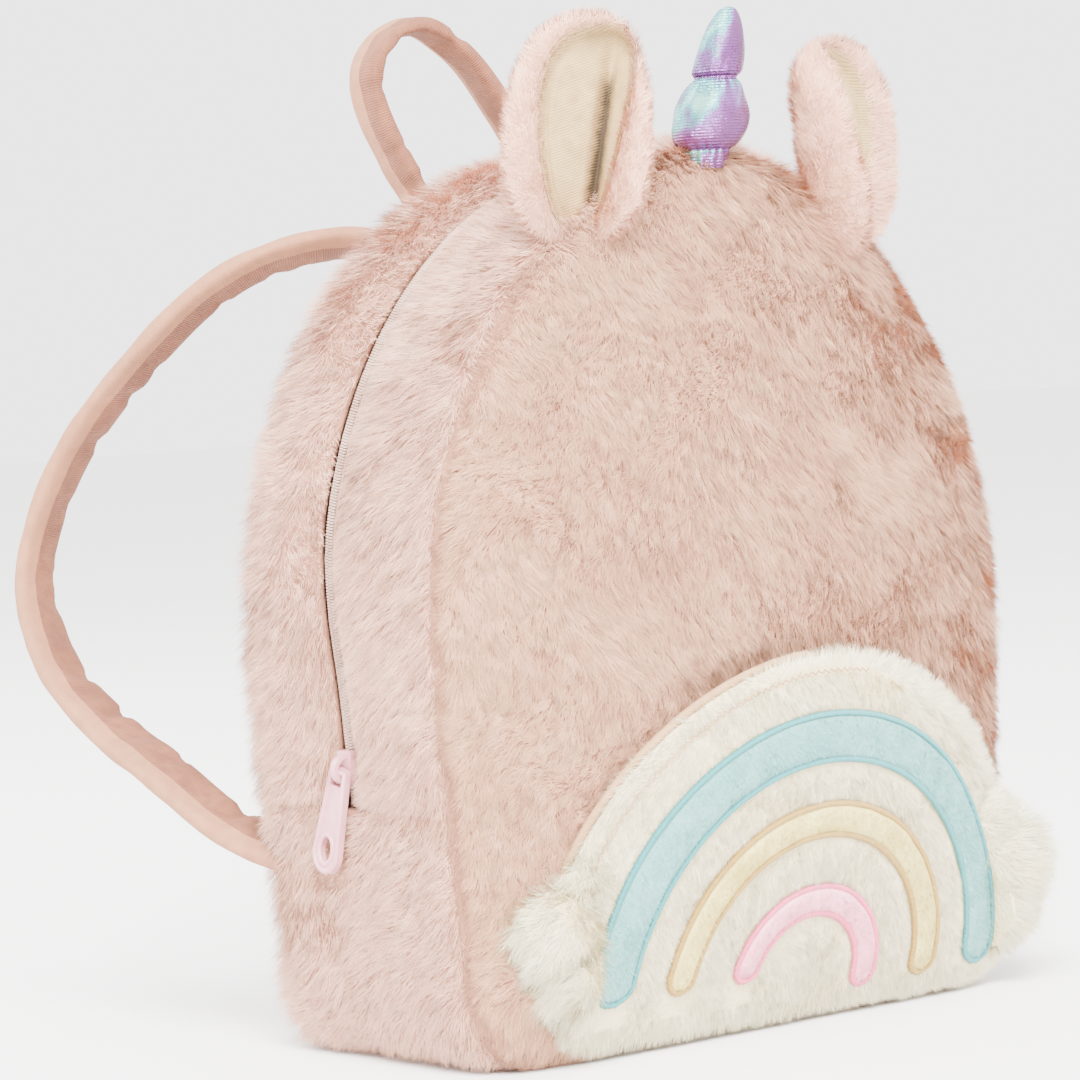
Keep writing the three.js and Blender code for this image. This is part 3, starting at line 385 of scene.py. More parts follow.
def body_outline():
    half, base, run = WIDTH / 2, BASE / 2, ARCH - CORNER
    lean = (half - base) / run
    t = np.linspace(0, math.pi / 2, 160, endpoint=False)[:, None]
    right = np.vstack([
        bezier((0, 0), ((base - CORNER) / 2, 0), (base - CORNER, 0)),
        bezier((base - CORNER, 0), (base - lean * CORNER, 0), (base, CORNER)),
        bezier((base, CORNER), (base + lean * run / 3, CORNER + run / 3), (half, ARCH - run / 3), (half, ARCH)),
        np.hstack([half * np.cos(t), ARCH + (HEIGHT - ARCH) * np.sin(t)])])
    left = right[::-1] * (-1, 1)
    return Outline(np.vstack([right, [[0, HEIGHT]], left[:-1]]), (0, 0.45 * HEIGHT))


BODY = body_outline()


def swell(share, fullness=2.2, shoulder=1.5):
    return np.maximum(0, 1 - np.abs(share) ** fullness) ** (1 / shoulder)


def front_face(x, z):
    """y of the front panel's face."""
    return -SEAM - FRONT_CROWN * swell(np.minimum(BODY.reach_of(x, z), 1))


def gusset_swell(share, y):
    flat = 1 - np.maximum(0, -BODY.normal(share)[..., 1]) ** 6
    return SIDE_CROWN * swell(2 * y / DEPTH) * flat


def zip_line(share):
    return ZIP_SETBACK * smoothstep(BODY.at(share)[..., 1], ZIP_STRAIGHT, ZIP_STRAIGHT + ARCH / 2)


def zip_dip(share, y):
    across = (np.abs(y - zip_line(share)) - ZIP_OPENING / 2) / (DEPTH / 2 - ZIP_OPENING / 2)
    return ZIP_DIP * (1 - np.clip(across, 0, 1)) ** 5


def rumple(points, amount):
    """How far soft plush lifts or sinks along its normal: broad hollows and small dents."""
    wide, middling = smooth_noise(points, 62, 3), smooth_noise(points, 24, 4)
    return amount * (0.6 * wide + 0.35 * middling + 0.2 * smooth_noise(points, 11, 5))


def crown_rise(points):
    """The plush is plumper about the foot of the horn."""
    return 4 * np.exp(-(points[..., 0] / 42) ** 2 - ((points[..., 1] + SEAM) / 24) ** 2) * (points[..., 2] > 200)


SEAM_VALLEY = 2.6
SEAM_SPREAD = 2.8


def panel_surface(side, crown, rows=34, columns=130):
    """The face of a panel as a grid of points: rows from the middle to the rim."""
    reach = np.sin(np.linspace(0.0005, math.pi / 2, rows))
    share = np.linspace(0, 1, columns, endpoint=False)
    rim = BODY.at(share)
    place = BODY.centre + reach[:, None, None] * (rim[None] - BODY.centre)
    y = side * (SEAM + crown * swell(reach))[:, None] * np.ones(columns)
    points = np.stack([place[..., 0], y, place[..., 1]], -1)
    flat = points.reshape(-1, 3)
    lift = rumple(flat, 1.1).reshape(rows, columns) * smoothstep(1 - reach, 0, 0.12)[:, None]
    valley = SEAM_VALLEY * np.exp(-((1 - reach) * WIDTH / 2 / SEAM_SPREAD) ** 2)
    points[..., 1] += side * (lift - valley[:, None])
    points[..., 2] += crown_rise(points) * smoothstep(reach, 0.75, 1)[:, None]
    return points


def gusset_surface(start, end, low, high, dip, columns=240, rows=21):
    """A strip of the gusset as a grid: rows across it, from low(share) to high(share)."""
    share = np.linspace(start, end, columns)
    across = (1 - np.cos(np.linspace(0, math.pi, rows))) / 2
    y = low(share)[None] * (1 - across[:, None]) + high(share)[None] * across[:, None]
    shares = np.broadcast_to(share, y.shape)
    out = gusset_swell(shares, y) - dip(shares, y)
    place, normal = BODY.at(shares), BODY.normal(shares)
    flat = np.stack([place[..., 0], y, place[..., 1]], -1).reshape(-1, 3)
    free = smoothstep(np.minimum(across, 1 - across), 0, 0.1)[:, None] * (1 - np.maximum(0, -normal[..., 1]) ** 6)
    level = 1 - np.maximum(0, -normal[..., 1]) ** 6
    valley = np.exp(-((DEPTH / 2 + y) / SEAM_SPREAD) ** 2) + np.exp(-((DEPTH / 2 - y) / SEAM_SPREAD) ** 2)
    roll = 3.5 * smoothstep(y, 10, 30) * (1 - smoothstep(y, 38, 48))
    out = out + rumple(flat, 0.9).reshape(y.shape) * free + (roll - SEAM_VALLEY * valley) * level
    spot = place + normal * out[..., None]
    points = np.stack([spot[..., 0], y, spot[..., 1]], -1)
    points[..., 2] += crown_rise(points)
    return points


def surface_normals(points, wrap):
    """Normals of a grid, from its rows to its columns."""
    if wrap:
        along = np.roll(points, -1, 1) - np.roll(points, 1, 1)
    else:
        along = np.gradient(points, axis=1)
    across = np.gradient(points, axis=0)
    return unit(np.cross(along, across))


def thicken(points, normals, thickness, wrap):
    """A closed wall: a grid, the same grid moved in along its normals, and the edges between them."""
    rows, columns = points.shape[:2]
    outer = grid_faces(rows, columns, wrap)
    count = rows * columns
    inner = outer[:, ::-1] + count
    faces = [outer, inner]
    top, bottom = np.arange(columns), (rows - 1) * columns + np.arange(columns)
    for line in (top, bottom):
        a, b = (line, np.roll(line, -1)) if wrap else (line[:-1], line[1:])
        quad = np.stack([a, b, b + count, a + count], -1)
        faces.append(quad if line is bottom else quad[:, ::-1])
    if not wrap:
        for k, line in enumerate((np.arange(rows) * columns, np.arange(rows) * columns + columns - 1)):
            a, b = line[:-1], line[1:]
            quad = np.stack([a, b, b + count, a + count], -1)
            faces.append(quad[:, ::-1] if k else quad)
    both = np.vstack([points.reshape(-1, 3), (points - normals * thickness).reshape(-1, 3)])
    return both, np.vstack(faces)


def outward(points, faces, middle):
    """Faces turned so that most of them face away from a middle point."""
    corner = points[faces[:, :3]]
    normal = np.cross(corner[:, 1] - corner[:, 0], corner[:, 2] - corner[:, 0])
    facing = ((corner.mean(1) - middle) * normal).sum()
    return faces if facing > 0 else faces[:, ::-1]


# Fur

class Skin:
    """A grid surface that hairs are sown on, with its normals facing away from a middle point."""

    def __init__(self, points, wrap, middle):
        self.points = points
        self.wrap = wrap
        normals = surface_normals(points, wrap)
        if ((points - middle) * normals).sum() < 0:
            normals = -normals
        self.normals = normals

    def sow(self, count, keep=None):
        """Roots and normals of about count hairs spread evenly. keep gives a point's chance to stay."""
        rows, columns = self.points.shape[:2]
        faces = grid_faces(rows, columns, self.wrap)
        flat, normals = self.points.reshape(-1, 3), self.normals.reshape(-1, 3)
        corner = flat[faces]
        area = np.linalg.norm(np.cross(corner[:, 2] - corner[:, 0], corner[:, 3] - corner[:, 1]), axis=1)
        if keep is not None:
            area = area * keep(corner.mean(1))
        pick = rng.choice(len(faces), int(count * DENSITY), p=area / area.sum())
        u, v = rng.random((2, len(pick), 1))
        blend = lambda values: ((values[faces[pick, 0]] * (1 - u) + values[faces[pick, 1]] * u) * (1 - v)
                                + (values[faces[pick, 3]] * (1 - u) + values[faces[pick, 2]] * u) * v)
        return blend(flat), unit(blend(normals))


def cells(points, size, seed):
    """For each point, the nearest of scattered centres about size apart, and that centre's number."""
    base = np.floor(points / size).astype(np.int64)
    best = np.full(len(points), np.inf)
    centre = np.zeros_like(points)
    number = np.zeros(len(points), np.int64)
    for i in (-1, 0, 1):
        for j in (-1, 0, 1):
            for k in (-1, 0, 1):
                cell = base + (i, j, k)
                code = ((cell[:, 0] * 73856093) ^ (cell[:, 1] * 19349663)
                        ^ (cell[:, 2] * 83492791) ^ (seed * 2654435761))
                mixes = ((1, 0), (2654435761, 11), (40503, 7))
                offset = np.stack([((code * m) >> s) & 1023 for m, s in mixes], -1) / 1023
                spot = (cell + offset) * size
                gap = ((points - spot) ** 2).sum(1)
                nearer = gap < best
                best[nearer] = gap[nearer]
                centre[nearer] = spot[nearer]
                number[nearer] = code[nearer]
    return centre, number


def scatter(number, salt):
    """A repeatable random value from 0 to 1 for each number."""
    mixed = (number ^ (salt * 0x9E3779B1)) * 0x45D9F3B
    mixed = (mixed ^ (mixed >> 16)) * 0x45D9F3B
    return ((mixed ^ (mixed >> 16)) & 0xFFFF) / 65535


def turn_about(vectors, axis, angle):
    """Vectors turned about unit axes by angles."""
    cos, sin = np.cos(angle)[:, None], np.sin(angle)[:, None]
    return vectors * cos + np.cross(axis, vectors) * sin + axis * (axis * vectors).sum(1, keepdims=True) * (1 - cos)


def grow(name, skin, count, flow, length, mats, width=0.24, clump=2.8, stray=0.25, rise=0.75,
         keep=None, short=None, draw=0.5, floor=0.4, swirl=1.0, relief=0.8, contrast=1.0, dark=None, body="bag"):
    """Sows hairs on a skin as thin blades, combed along flow(points) and drawn together in clumps.

    A hair is shaded mostly as the pile's surface is, so the pile looks soft. relief is how much the clumps
    change that shading. keep, short and dark give, at points, the chance that a hair is kept, the share of its
    length and how much its tone sinks as painted shade. The tone also sinks as painted shade where a noise
    marks partings in the pile."""
    root, normal = skin.sow(count, keep)
    blades = len(root)
    comb = flow(root)
    comb = unit(comb - normal * (comb * normal).sum(1, keepdims=True))
    centre, number = cells(root, clump, 11)
    lock_number = cells(root, clump * 2.6, 12)[1]
    angle = swirl * (0.5 * smooth_noise(root, 75, 21) + 0.4 * smooth_noise(root, 28, 22)
                     + 0.7 * (scatter(number, 1) - 0.5) + 0.6 * (scatter(lock_number, 2) - 0.5))
    comb = unit(turn_about(comb, normal, angle + stray * rng.normal(size=blades)))
    size = length * (0.82 + 0.3 * scatter(lock_number, 3)) * rng.uniform(0.7, 1.1, blades)
    if short is not None:
        size = size * short(root)
    lift = rise * (0.75 + 0.5 * scatter(number, 4)) * rng.uniform(0.75, 1.3, blades)
    start = root - normal * 0.4
    end = start + unit(comb + normal * lift[:, None]) * size[:, None]
    aim = centre + (end - root)
    aim = aim - normal * ((centre - root) * normal).sum(1, keepdims=True)
    end = end + (aim - end) * draw * rng.uniform(0.4, 1.0, (blades, 1))
    end[:, 2] = np.maximum(end[:, 2], floor)
    along = unit(end - start)
    side = unit(np.cross(along, normal) + normal * rng.normal(scale=0.3, size=(blades, 1)))
    thick = width * rng.uniform(0.7, 1.25, (blades, 1)) / 2
    points = np.stack([start - side * thick, start + side * thick, end], 1)
    facing = (np.cross(points[:, 1] - points[:, 0], points[:, 2] - points[:, 0]) * normal).sum(1)
    points[facing < 0] = points[facing < 0][:, [1, 0, 2]]
    # painted shade: hairs are darker where this noise marks partings, standing in for the shade that falls into gaps
    # in the pile
    painted_parting_shade = smooth_noise(root, 34, 32) * 0.55 + smooth_noise(root, 15, 33) * 0.45
    tone = (0.06 * smooth_noise(root, 60, 31) + 0.34 * (scatter(number, 6) - 0.5)
            + 0.18 * (scatter(lock_number, 7) - 0.5) - 0.22 * smoothstep(painted_parting_shade, 0.5, 1.2)
            + 0.17 * rng.normal(size=blades))
    tone = 0.64 + contrast * tone
    # dark(root) sinks the tone as painted shade, where a seam or fold would lie in shadow
    if dark is not None:
        tone = tone - dark(root)
    last = len(mats) - 1
    index = np.clip(np.round(tone * last), 0, last).astype(np.int32)
    tilt = np.stack([scatter(number, 8), scatter(number, 9), scatter(number, 10)], -1) - 0.5
    shade = unit(normal + relief * (0.35 * comb + 0.9 * tilt) + 0.12 * rng.normal(size=(blades, 3)))
    at_root = unit(shade - comb * 0.25)
    mesh = bpy.data.meshes.new(name)
    mesh.vertices.add(3 * blades)
    mesh.vertices.foreach_set("co", (points / 1000).astype(np.float32).ravel())
    mesh.loops.add(3 * blades)
    mesh.loops.foreach_set("vertex_index", np.arange(3 * blades, dtype=np.int32))
    mesh.polygons.add(blades)
    mesh.polygons.foreach_set("loop_start", np.arange(blades, dtype=np.int32) * 3)
    mesh.polygons.foreach_set("material_index", index)
    mesh.polygons.foreach_set("use_smooth", np.ones(blades, bool))
    for mat in mats:
        mesh.materials.append(mat)
    mesh.update(calc_edges=True)
    mesh.normals_split_custom_set_from_vertices(np.stack([at_root, at_root, shade], 1).reshape(-1, 3).tolist())
    piece = bpy.data.objects.new(name, mesh)
    bpy.context.scene.collection.objects.link(piece)
    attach(piece, body)
    return piece


# The palette

def tones(name, colours, shine="f6e9e0"):
    return [hair("%s_hair_%d" % (name, k), colour, shine) for k, colour in enumerate(colours)]


PINK = tones("pink", ("a07258", "b58165", "c49073", "ce9a7a", "d5a383", "dbae8f"))
PALE = tones("pale", ("b2836d", "c58f78", "d59e86", "deaa91", "e4b49b", "ebc0a6"))
CREAM = tones("cream", ("dacda3", "e4d9b1", "ebe1bc", "f0e8c9", "f3edd2"), "fffaf0")
BLUE = tones("blue", ("62b0b6", "74bcc2", "85c6cb", "97d1d4"), "eef7f6")
YELLOW = tones("yellow", ("cab65e", "d7c570", "dfd080", "e5da91"), "fbf6e4")
ROSE = tones("rose", ("ea89a1", "f39bb0", "f7a6ba", "fab0c3"), "fdf1f3")
PINK_GROUND = plush_ground("pink_ground", "a5755f", "845644")
EAR_GROUND = plush_ground("ear_ground", "cda083", "b4836a")
CREAM_GROUND = plush_ground("cream_ground", "e2d6b2", "cfbf93")


def stack(*grids):
    return np.vstack([g.reshape(-1, 3) for g in grids])


# Body

def pocket_outline():
    rise = math.asin(16 / 99)
    side = POCKET_RADIUS * math.cos(rise)
    height = POCKET_Z + POCKET_RADIUS * math.sin(rise)
    foot = POCKET_FOOT_WIDTH / 2
    corner = (foot + side) / 2 + foot / 8
    x = POCKET_X
    t = np.linspace(rise, math.pi - rise, 300, endpoint=False)[:, None]
    arch = np.hstack([x + POCKET_RADIUS * np.cos(t), POCKET_Z + POCKET_RADIUS * np.sin(t)])
    points = np.vstack([
        bezier((x, POCKET_FOOT), (x + foot / 2, POCKET_FOOT), (x + foot, POCKET_FOOT)),
        bezier((x + foot, POCKET_FOOT), (x + corner, POCKET_FOOT), (x + side, height)),
        arch,
        bezier((x - side, height), (x - corner, POCKET_FOOT), (x - foot, POCKET_FOOT)),
        bezier((x - foot, POCKET_FOOT), (x - foot / 2, POCKET_FOOT), (x, POCKET_FOOT))])
    return Outline(points, (x, 0.4 * POCKET_RADIUS))


POCKET = pocket_outline()


def pocket_stand_off(x, z, reach):
    across = np.minimum(np.abs(x - POCKET_X) / POCKET_RADIUS, 1)
    top = POCKET_Z + POCKET_RADIUS
    open_share = smoothstep(z, POCKET_FOOT, top * 0.85) * (1 - across ** 2)
    return 0.3 + POCKET_EASE * (1 - np.minimum(reach, 1) ** 4) + POCKET_GAP * open_share


def pocket_face(x, z):
    reach = np.minimum(POCKET.reach_of(x, z), 1)
    padding = 0.4 + 0.6 * np.sqrt(1 - reach ** 8)
    return front_face(x, z) - pocket_stand_off(x, z, reach) - POCKET_WALL * padding


def off_pocket(points):
    """Where the front panel's hairs may stand: off the pocket, and a little way down behind its mouth."""
    return (POCKET.reach_of(points[:, 0], points[:, 2]) > 0.93).astype(float)


def low_down(points):
    """1 on the sides and 0 on the crown of the bag, where the hairs hide the seams."""
    return 1 - smoothstep(points[:, 2], 222, 250)


def near_tab(points):
    """Hairs are pressed short under the zip's slider and tab."""
    y, z = points[:, 1], points[:, 2]
    middle = (90 - z) * 0.25
    inside = (z > 54) & ((z < 74) | (z > 84)) & (z < 100) & (np.abs(y - middle) < 9.5) & (points[:, 0] < 0)
    return np.where(inside, 0.35, 1.0)


def near_zip(points):
    """Hairs are short beside the zip, more so on its front side, so that its coil shows."""
    height = smoothstep(points[:, 2], ZIP_STRAIGHT, ZIP_STRAIGHT + ARCH / 2)
    offset = points[:, 1] - ZIP_SETBACK * height
    least = np.where(offset < 0, 0.2, 0.8)
    growth = least + (1 - least) * smoothstep(np.abs(offset) - ZIP_OPENING / 2, 0.5, 8)
    return np.where(points[:, 2] > ZIP_END - 1, growth, 1.0)


def add_body():
    middle = np.array([0, 0, 120.0])
    front = panel_surface(-1, FRONT_CROWN)
    skin = Skin(front, True, middle)
    points, faces = thicken(front, skin.normals, 3.0, True)
    piece = new_piece("front_skin", points, outward(points, faces, middle), [PINK_GROUND])
    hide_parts("front_panel")
    down_left = lambda p: np.stack([
        -0.55 + 0.25 * smooth_noise(p, 120, 41), np.zeros(len(p)), -0.85 * np.ones(len(p))], -1)
    from_rim = lambda p: (1 - BODY.reach_of(p[:, 0], p[:, 2])) * WIDTH / 2
    seam = lambda p: 1 - 0.7 * (1 - smoothstep(from_rim(p), 0.4, 4.5)) * low_down(p)
    # painted shade: hairs darker within about 4 mm of the panel's seam, low on the bag, as if in the seam's shadow
    crease = lambda p: 0.6 * (1 - smoothstep(from_rim(p), 1.0, 4)) * low_down(p)
    for k in range(2):
        grow("front_fur_%d" % k, skin, 128000, down_left, 6.6, PINK, width=0.255,
             keep=off_pocket, short=seam, dark=crease)
    back = panel_surface(1, BACK_CROWN)
    skin = Skin(back, True, middle)
    points, faces = thicken(back, skin.normals, 3.0, True)
    piece = new_piece("back_skin", points, outward(points, faces, middle), [PINK_GROUND])
    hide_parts("back_panel")
    down = lambda p: np.stack([0.2 * smooth_noise(p, 120, 42), np.zeros(len(p)), -np.ones(len(p))], -1)
    grow("back_fur", skin, 50000, down, 8.0, PINK, width=0.4)

    end = BODY.share_at_height(ZIP_END)
    edge = DEPTH / 2 - 0.15
    gap = ZIP_OPENING / 2
    front_edge = lambda s: -edge + 0 * s
    back_edge = lambda s: edge + 0 * s
    strips = {
        "zip_gusset_front": (end, 1 - end, front_edge, lambda s: zip_line(s) - gap, zip_dip, 92000, 170),
        "zip_gusset_back": (end, 1 - end, lambda s: zip_line(s) + gap, back_edge, zip_dip, 70000, 170),
        "bottom_gusset": (1 - end, 1 + end, front_edge, back_edge, lambda s, y: 0 * y, 44000, 130),
    }
    for name, (start, stop, low, high, dip, count, columns) in strips.items():
        grid = gusset_surface(start, stop, low, high, dip, columns)
        skin = Skin(grid, False, middle)
        points, faces = thicken(grid, skin.normals, 3.0, False)
        piece = new_piece(name + "_skin", points, outward(points, faces, middle), [PINK_GROUND])
        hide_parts(name)
        over_zip = lambda p: (
            np.where(p[:, 1] > 0, 1.0, 0.0) * (1 - smoothstep(p[:, 1], 12, 30)) * (p[:, 2] > ZIP_END))
        flow = lambda p: np.stack([
            np.zeros(len(p)), 0.35 + 0.3 * smooth_noise(p, 90, 43) - 1.3 * over_zip(p), -np.ones(len(p))], -1)
        keep = (lambda p: np.where(p[:, 2] < 1.0, 0.12, 1.0)) if name == "bottom_gusset" else None
        seam = lambda p: (
            near_tab(p) * near_zip(p) * (1 - 0.7 * (1 - smoothstep(DEPTH / 2 + p[:, 1], 0.4, 4.5)) * low_down(p))
            * (1 + 0.45 * smoothstep(p[:, 1], 26, 46)) * (0.6 + 0.4 * smoothstep(np.abs(p[:, 2] - ZIP_END), 0, 4)))
        # painted shade: hairs darker beside the seam with the front panel, low on the bag, and along the seam at the
        # zip's end
        crease = lambda p: (0.6 * (1 - smoothstep(DEPTH / 2 + p[:, 1], 1.0, 4)) * low_down(p)
                            + 0.2 * (1 - smoothstep(np.abs(p[:, 2] - ZIP_END), 0, 2.5)))
        grow(name + "_fur", skin, count, flow, 6.4, PALE, keep=keep, short=seam, dark=crease)


# Ears

def ear_grid(frame_of, sizes, outs, cups, steps, crisp=0.17):
    """Rings of an ear leaf: sizes, levels and how far each has the drop shape of the cup."""
    squareness = 2 / 2.4
    angle = np.linspace(0, 2 * math.pi, steps, endpoint=False)[None]
    size, out, cup = (np.broadcast_to(np.asarray(v, float), np.shape(sizes))[:, None] for v in (sizes, outs, cups))
    rounded = lambda v: np.sign(v) * np.abs(v) ** squareness
    up = np.maximum((1 + size * (1 + 0.25 * cup) * rounded(np.sin(angle))) / 2, 0)
    crease = 0.6 * up
    oval = size * rounded(np.cos(angle)) * (1 + 0.22 * (0.45 - up))
    drop = oval * (0.5 + 0.75 * up ** 1.5) + size * (0.5 * up ** 2 - 0.11)
    across = oval * (1 - cup) + drop * cup + crease * (1 - size) ** 2
    fold = EAR_FOLD * (1 - 0.3 * up) * (np.hypot(across - crease, crisp) - 0.17)
    local = np.stack([across * EAR_WIDTH / 2, up * EAR_HEIGHT, out + fold], -1)
    axes, origin = frame_of
    return local @ axes + origin


def ear_frame(side, spread, sink):
    lean = 4 / EAR_HEIGHT
    spread, sink = spread * WIDTH, sink * EAR_HEIGHT
    arch = ARCH + (HEIGHT - ARCH) * math.sqrt(1 - (spread / (WIDTH / 2)) ** 2)
    across = np.array([-side * math.cos(EAR_TURN), -math.sin(EAR_TURN), 0])
    up = unit(np.array([-side * lean, 0, 1.0]))
    facing = np.array([side * math.sin(EAR_TURN), -math.cos(EAR_TURN), 0])
    return np.stack([across, up, facing]), np.array([side * spread, -SEAM + 2, arch - sink])


def spline(values, count):
    """Values drawn smoothly through a list of them."""
    values = np.asarray(values, float)
    padded = np.concatenate([[2 * values[0] - values[1]], values, [2 * values[-1] - values[-2]]])
    t = np.linspace(0, len(values) - 1 - 1e-9, count)
    k = t.astype(int)
    f = t - k
    a, b, c, d = (padded[k + i] for i in range(4))
    return 0.5 * (2 * b + (c - a) * f + (2 * a - 5 * b + 4 * c - d) * f ** 2 + (3 * b - a - 3 * c + d) * f ** 3)


def add_ears():
    half = EAR_THICK / 2
    floor = -half + 3.2
    # the lining's velvet carries a painted shadow in 33240f along its fold
    inside = velvet("ear_velvet", "b69a68", "866c46", 0.8, crease="33240f")
    rings, around = 30, 64
    for name, (side, spread, sink) in EARS.items():
        place = ear_frame(side, spread, sink)
        facing = place[0][2]
        middle = place[1] + place[0][1] * EAR_HEIGHT / 2
        sizes = [0.02, 0.45, 0.78, 0.95, 1, 0.94, 0.84, 0.73, 0.7, 0.66, 0.02]
        outs = [-half, -half, -0.85 * half, -0.45 * half, 0.1 * half, 0.8 * half, half, 0.7 * half,
                floor + 1, floor, floor]
        cups = [0, 0, 0, 0, 0, 0.3, 0.7, 1, 1, 1, 1]
        columns = (
            np.clip(spline(sizes, rings), 0.01, 1), spline(outs, rings), np.clip(spline(cups, rings), 0, 1))
        grid = ear_grid(place, *columns, around)
        points = grid.reshape(-1, 3)
        faces = outward(points, grid_faces(rings, around, True), middle - facing * 3)
        piece = new_piece("ear_skin_" + name, points, faces, [EAR_GROUND])
        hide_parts("ear_" + name)
        # the furred part runs from the back, round the rim, to the lining's edge
        furred = ear_grid(place, *(column[:22] for column in columns), around)
        skin = Skin(furred, True, middle + facing * 8)
        up = lambda p: place[0][1] * 0.5 + unit(p - middle) * 0.9 + facing * 0.2
        above = lambda p: (p[:, 2] > place[1][2] + 1).astype(float)
        grow("ear_fur_" + name, skin, 31000, up, 4.4, PALE, width=0.28, clump=3,
             keep=above, floor=200, relief=0.5, draw=0.3)
        # the lining lies in the cup
        rows, columns = 22, 96
        reach = np.concatenate([np.linspace(0.003, 0.66, rows - 6), [0.68, 0.695, 0.71, 0.725, 0.74, 0.755]])
        rise = np.interp(reach, [0, 0.6, 0.68, 0.71, 0.74, 0.76], [1.4, 1.4, 2.6, 5.6, 6.6, 7.0])
        points = ear_grid(place, reach, floor + rise, 1, columns).reshape(-1, 3)
        flat = (points - place[1]) @ place[0].T
        rise_share = flat[:, 1] / EAR_HEIGHT
        from_crease = flat[:, 0] - CREASE_LEAN * rise_share * EAR_WIDTH / 2
        below_tip = 1 - smoothstep(rise_share, 0.75, 0.95)
        inside_edge = np.repeat(1 - smoothstep(reach, 0.6, 0.7), columns)
        plump = 3.4 * (1 - np.exp(-(from_crease / 1.8) ** 2)) * below_tip * inside_edge
        dip = plump + 0.25 * smooth_noise(points, 11, 51) + 0.15 * smooth_noise(points, 24, 52)
        points = points + facing * dip[:, None]
        # u is the distance from the fold, where the velvet paints its shadow; near the tip u grows, so the painted
        # shadow ends there
        shade_at = np.hypot(from_crease, 5 * smoothstep(rise_share, 0.66, 0.84))
        uv = np.stack([shade_at, flat[:, 1] - flat[:, 0] * 0.45], -1) / 1000
        grid = points.reshape(rows, columns, 3)
        lining, faces = thicken(grid, np.broadcast_to(facing, grid.shape), 0.9, True)
        faces = outward(lining, faces, middle - facing * 60)
        piece = new_piece("ear_lining_skin_" + name, lining, faces, [inside], uv=np.vstack([uv, uv]))
        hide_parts("ear_lining_" + name)


# Horn

def add_horn():
    girth = [(-0.03, 0.5), (0, 0.56), (0.05, 0.62), (0.09, 0.68), (0.17, 0.95), (0.3, 1), (0.45, 0.84),
             (0.54, 0.62), (0.59, 0.69), (0.68, 0.68), (0.8, 0.56), (0.91, 0.4), (0.98, 0.22), (1.0, 0.02)]
    up, radius = (spline(column, HORN_ROWS) for column in zip(*girth))
    angle = np.linspace(0, 2 * math.pi, HORN_SIDES, endpoint=False)
    up, radius, angle = up[:, None], np.maximum(radius, 0.004)[:, None], angle[None]
    threads = ((0.09, 0.05, 1.0), (0.54, 0.07, 0.8))
    ties = sum(depth * np.exp(-((up - at) / spread) ** 2) for at, spread, depth in threads)
    pleats = np.cos(17 * angle + 1.2 * np.sin(3 * angle)) * ties * 0.055
    frill = np.cos(13 * angle + 0.8 * np.sin(2 * angle)) * smoothstep(0.07 - up, 0, 0.06) * 0.07
    soft = (0.035 * np.sin(2 * angle + 10 * up) + 0.03 * np.sin(3 * angle - 12 * up)
            + 0.015 * np.sin(7 * angle - 20 * up))
    pinch = -0.06 * np.exp(-((up - 0.54) / 0.018) ** 2) - 0.08 * np.exp(-((up - 0.09) / 0.014) ** 2)
    r = HORN_RADIUS * (radius + pinch * (radius > 0.3) + (pleats + frill + soft) * np.minimum(radius, 1))
    rise = np.maximum(up, 0)
    points = np.stack([
        r * np.cos(angle) + 9 * rise ** 1.3,
        r * np.sin(angle) - SEAM - 4 * rise,
        HEIGHT - 1.5 + up * HORN_HEIGHT * 1.03 + 0 * angle], -1)
    uv = np.stack([angle * HORN_RADIUS + 0 * up, up * HORN_HEIGHT + 0 * angle], -1).reshape(-1, 2) / 1000
    flat = points.reshape(-1, 3)
    faces = outward(flat, grid_faces(HORN_ROWS, HORN_SIDES, True), np.array([2, -SEAM, HEIGHT + 18]))
    piece = new_piece("horn_skin", flat, faces, [horn_cloth("horn_cloth")], uv=uv)
    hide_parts("horn")


# Pocket, rainbow and puffs

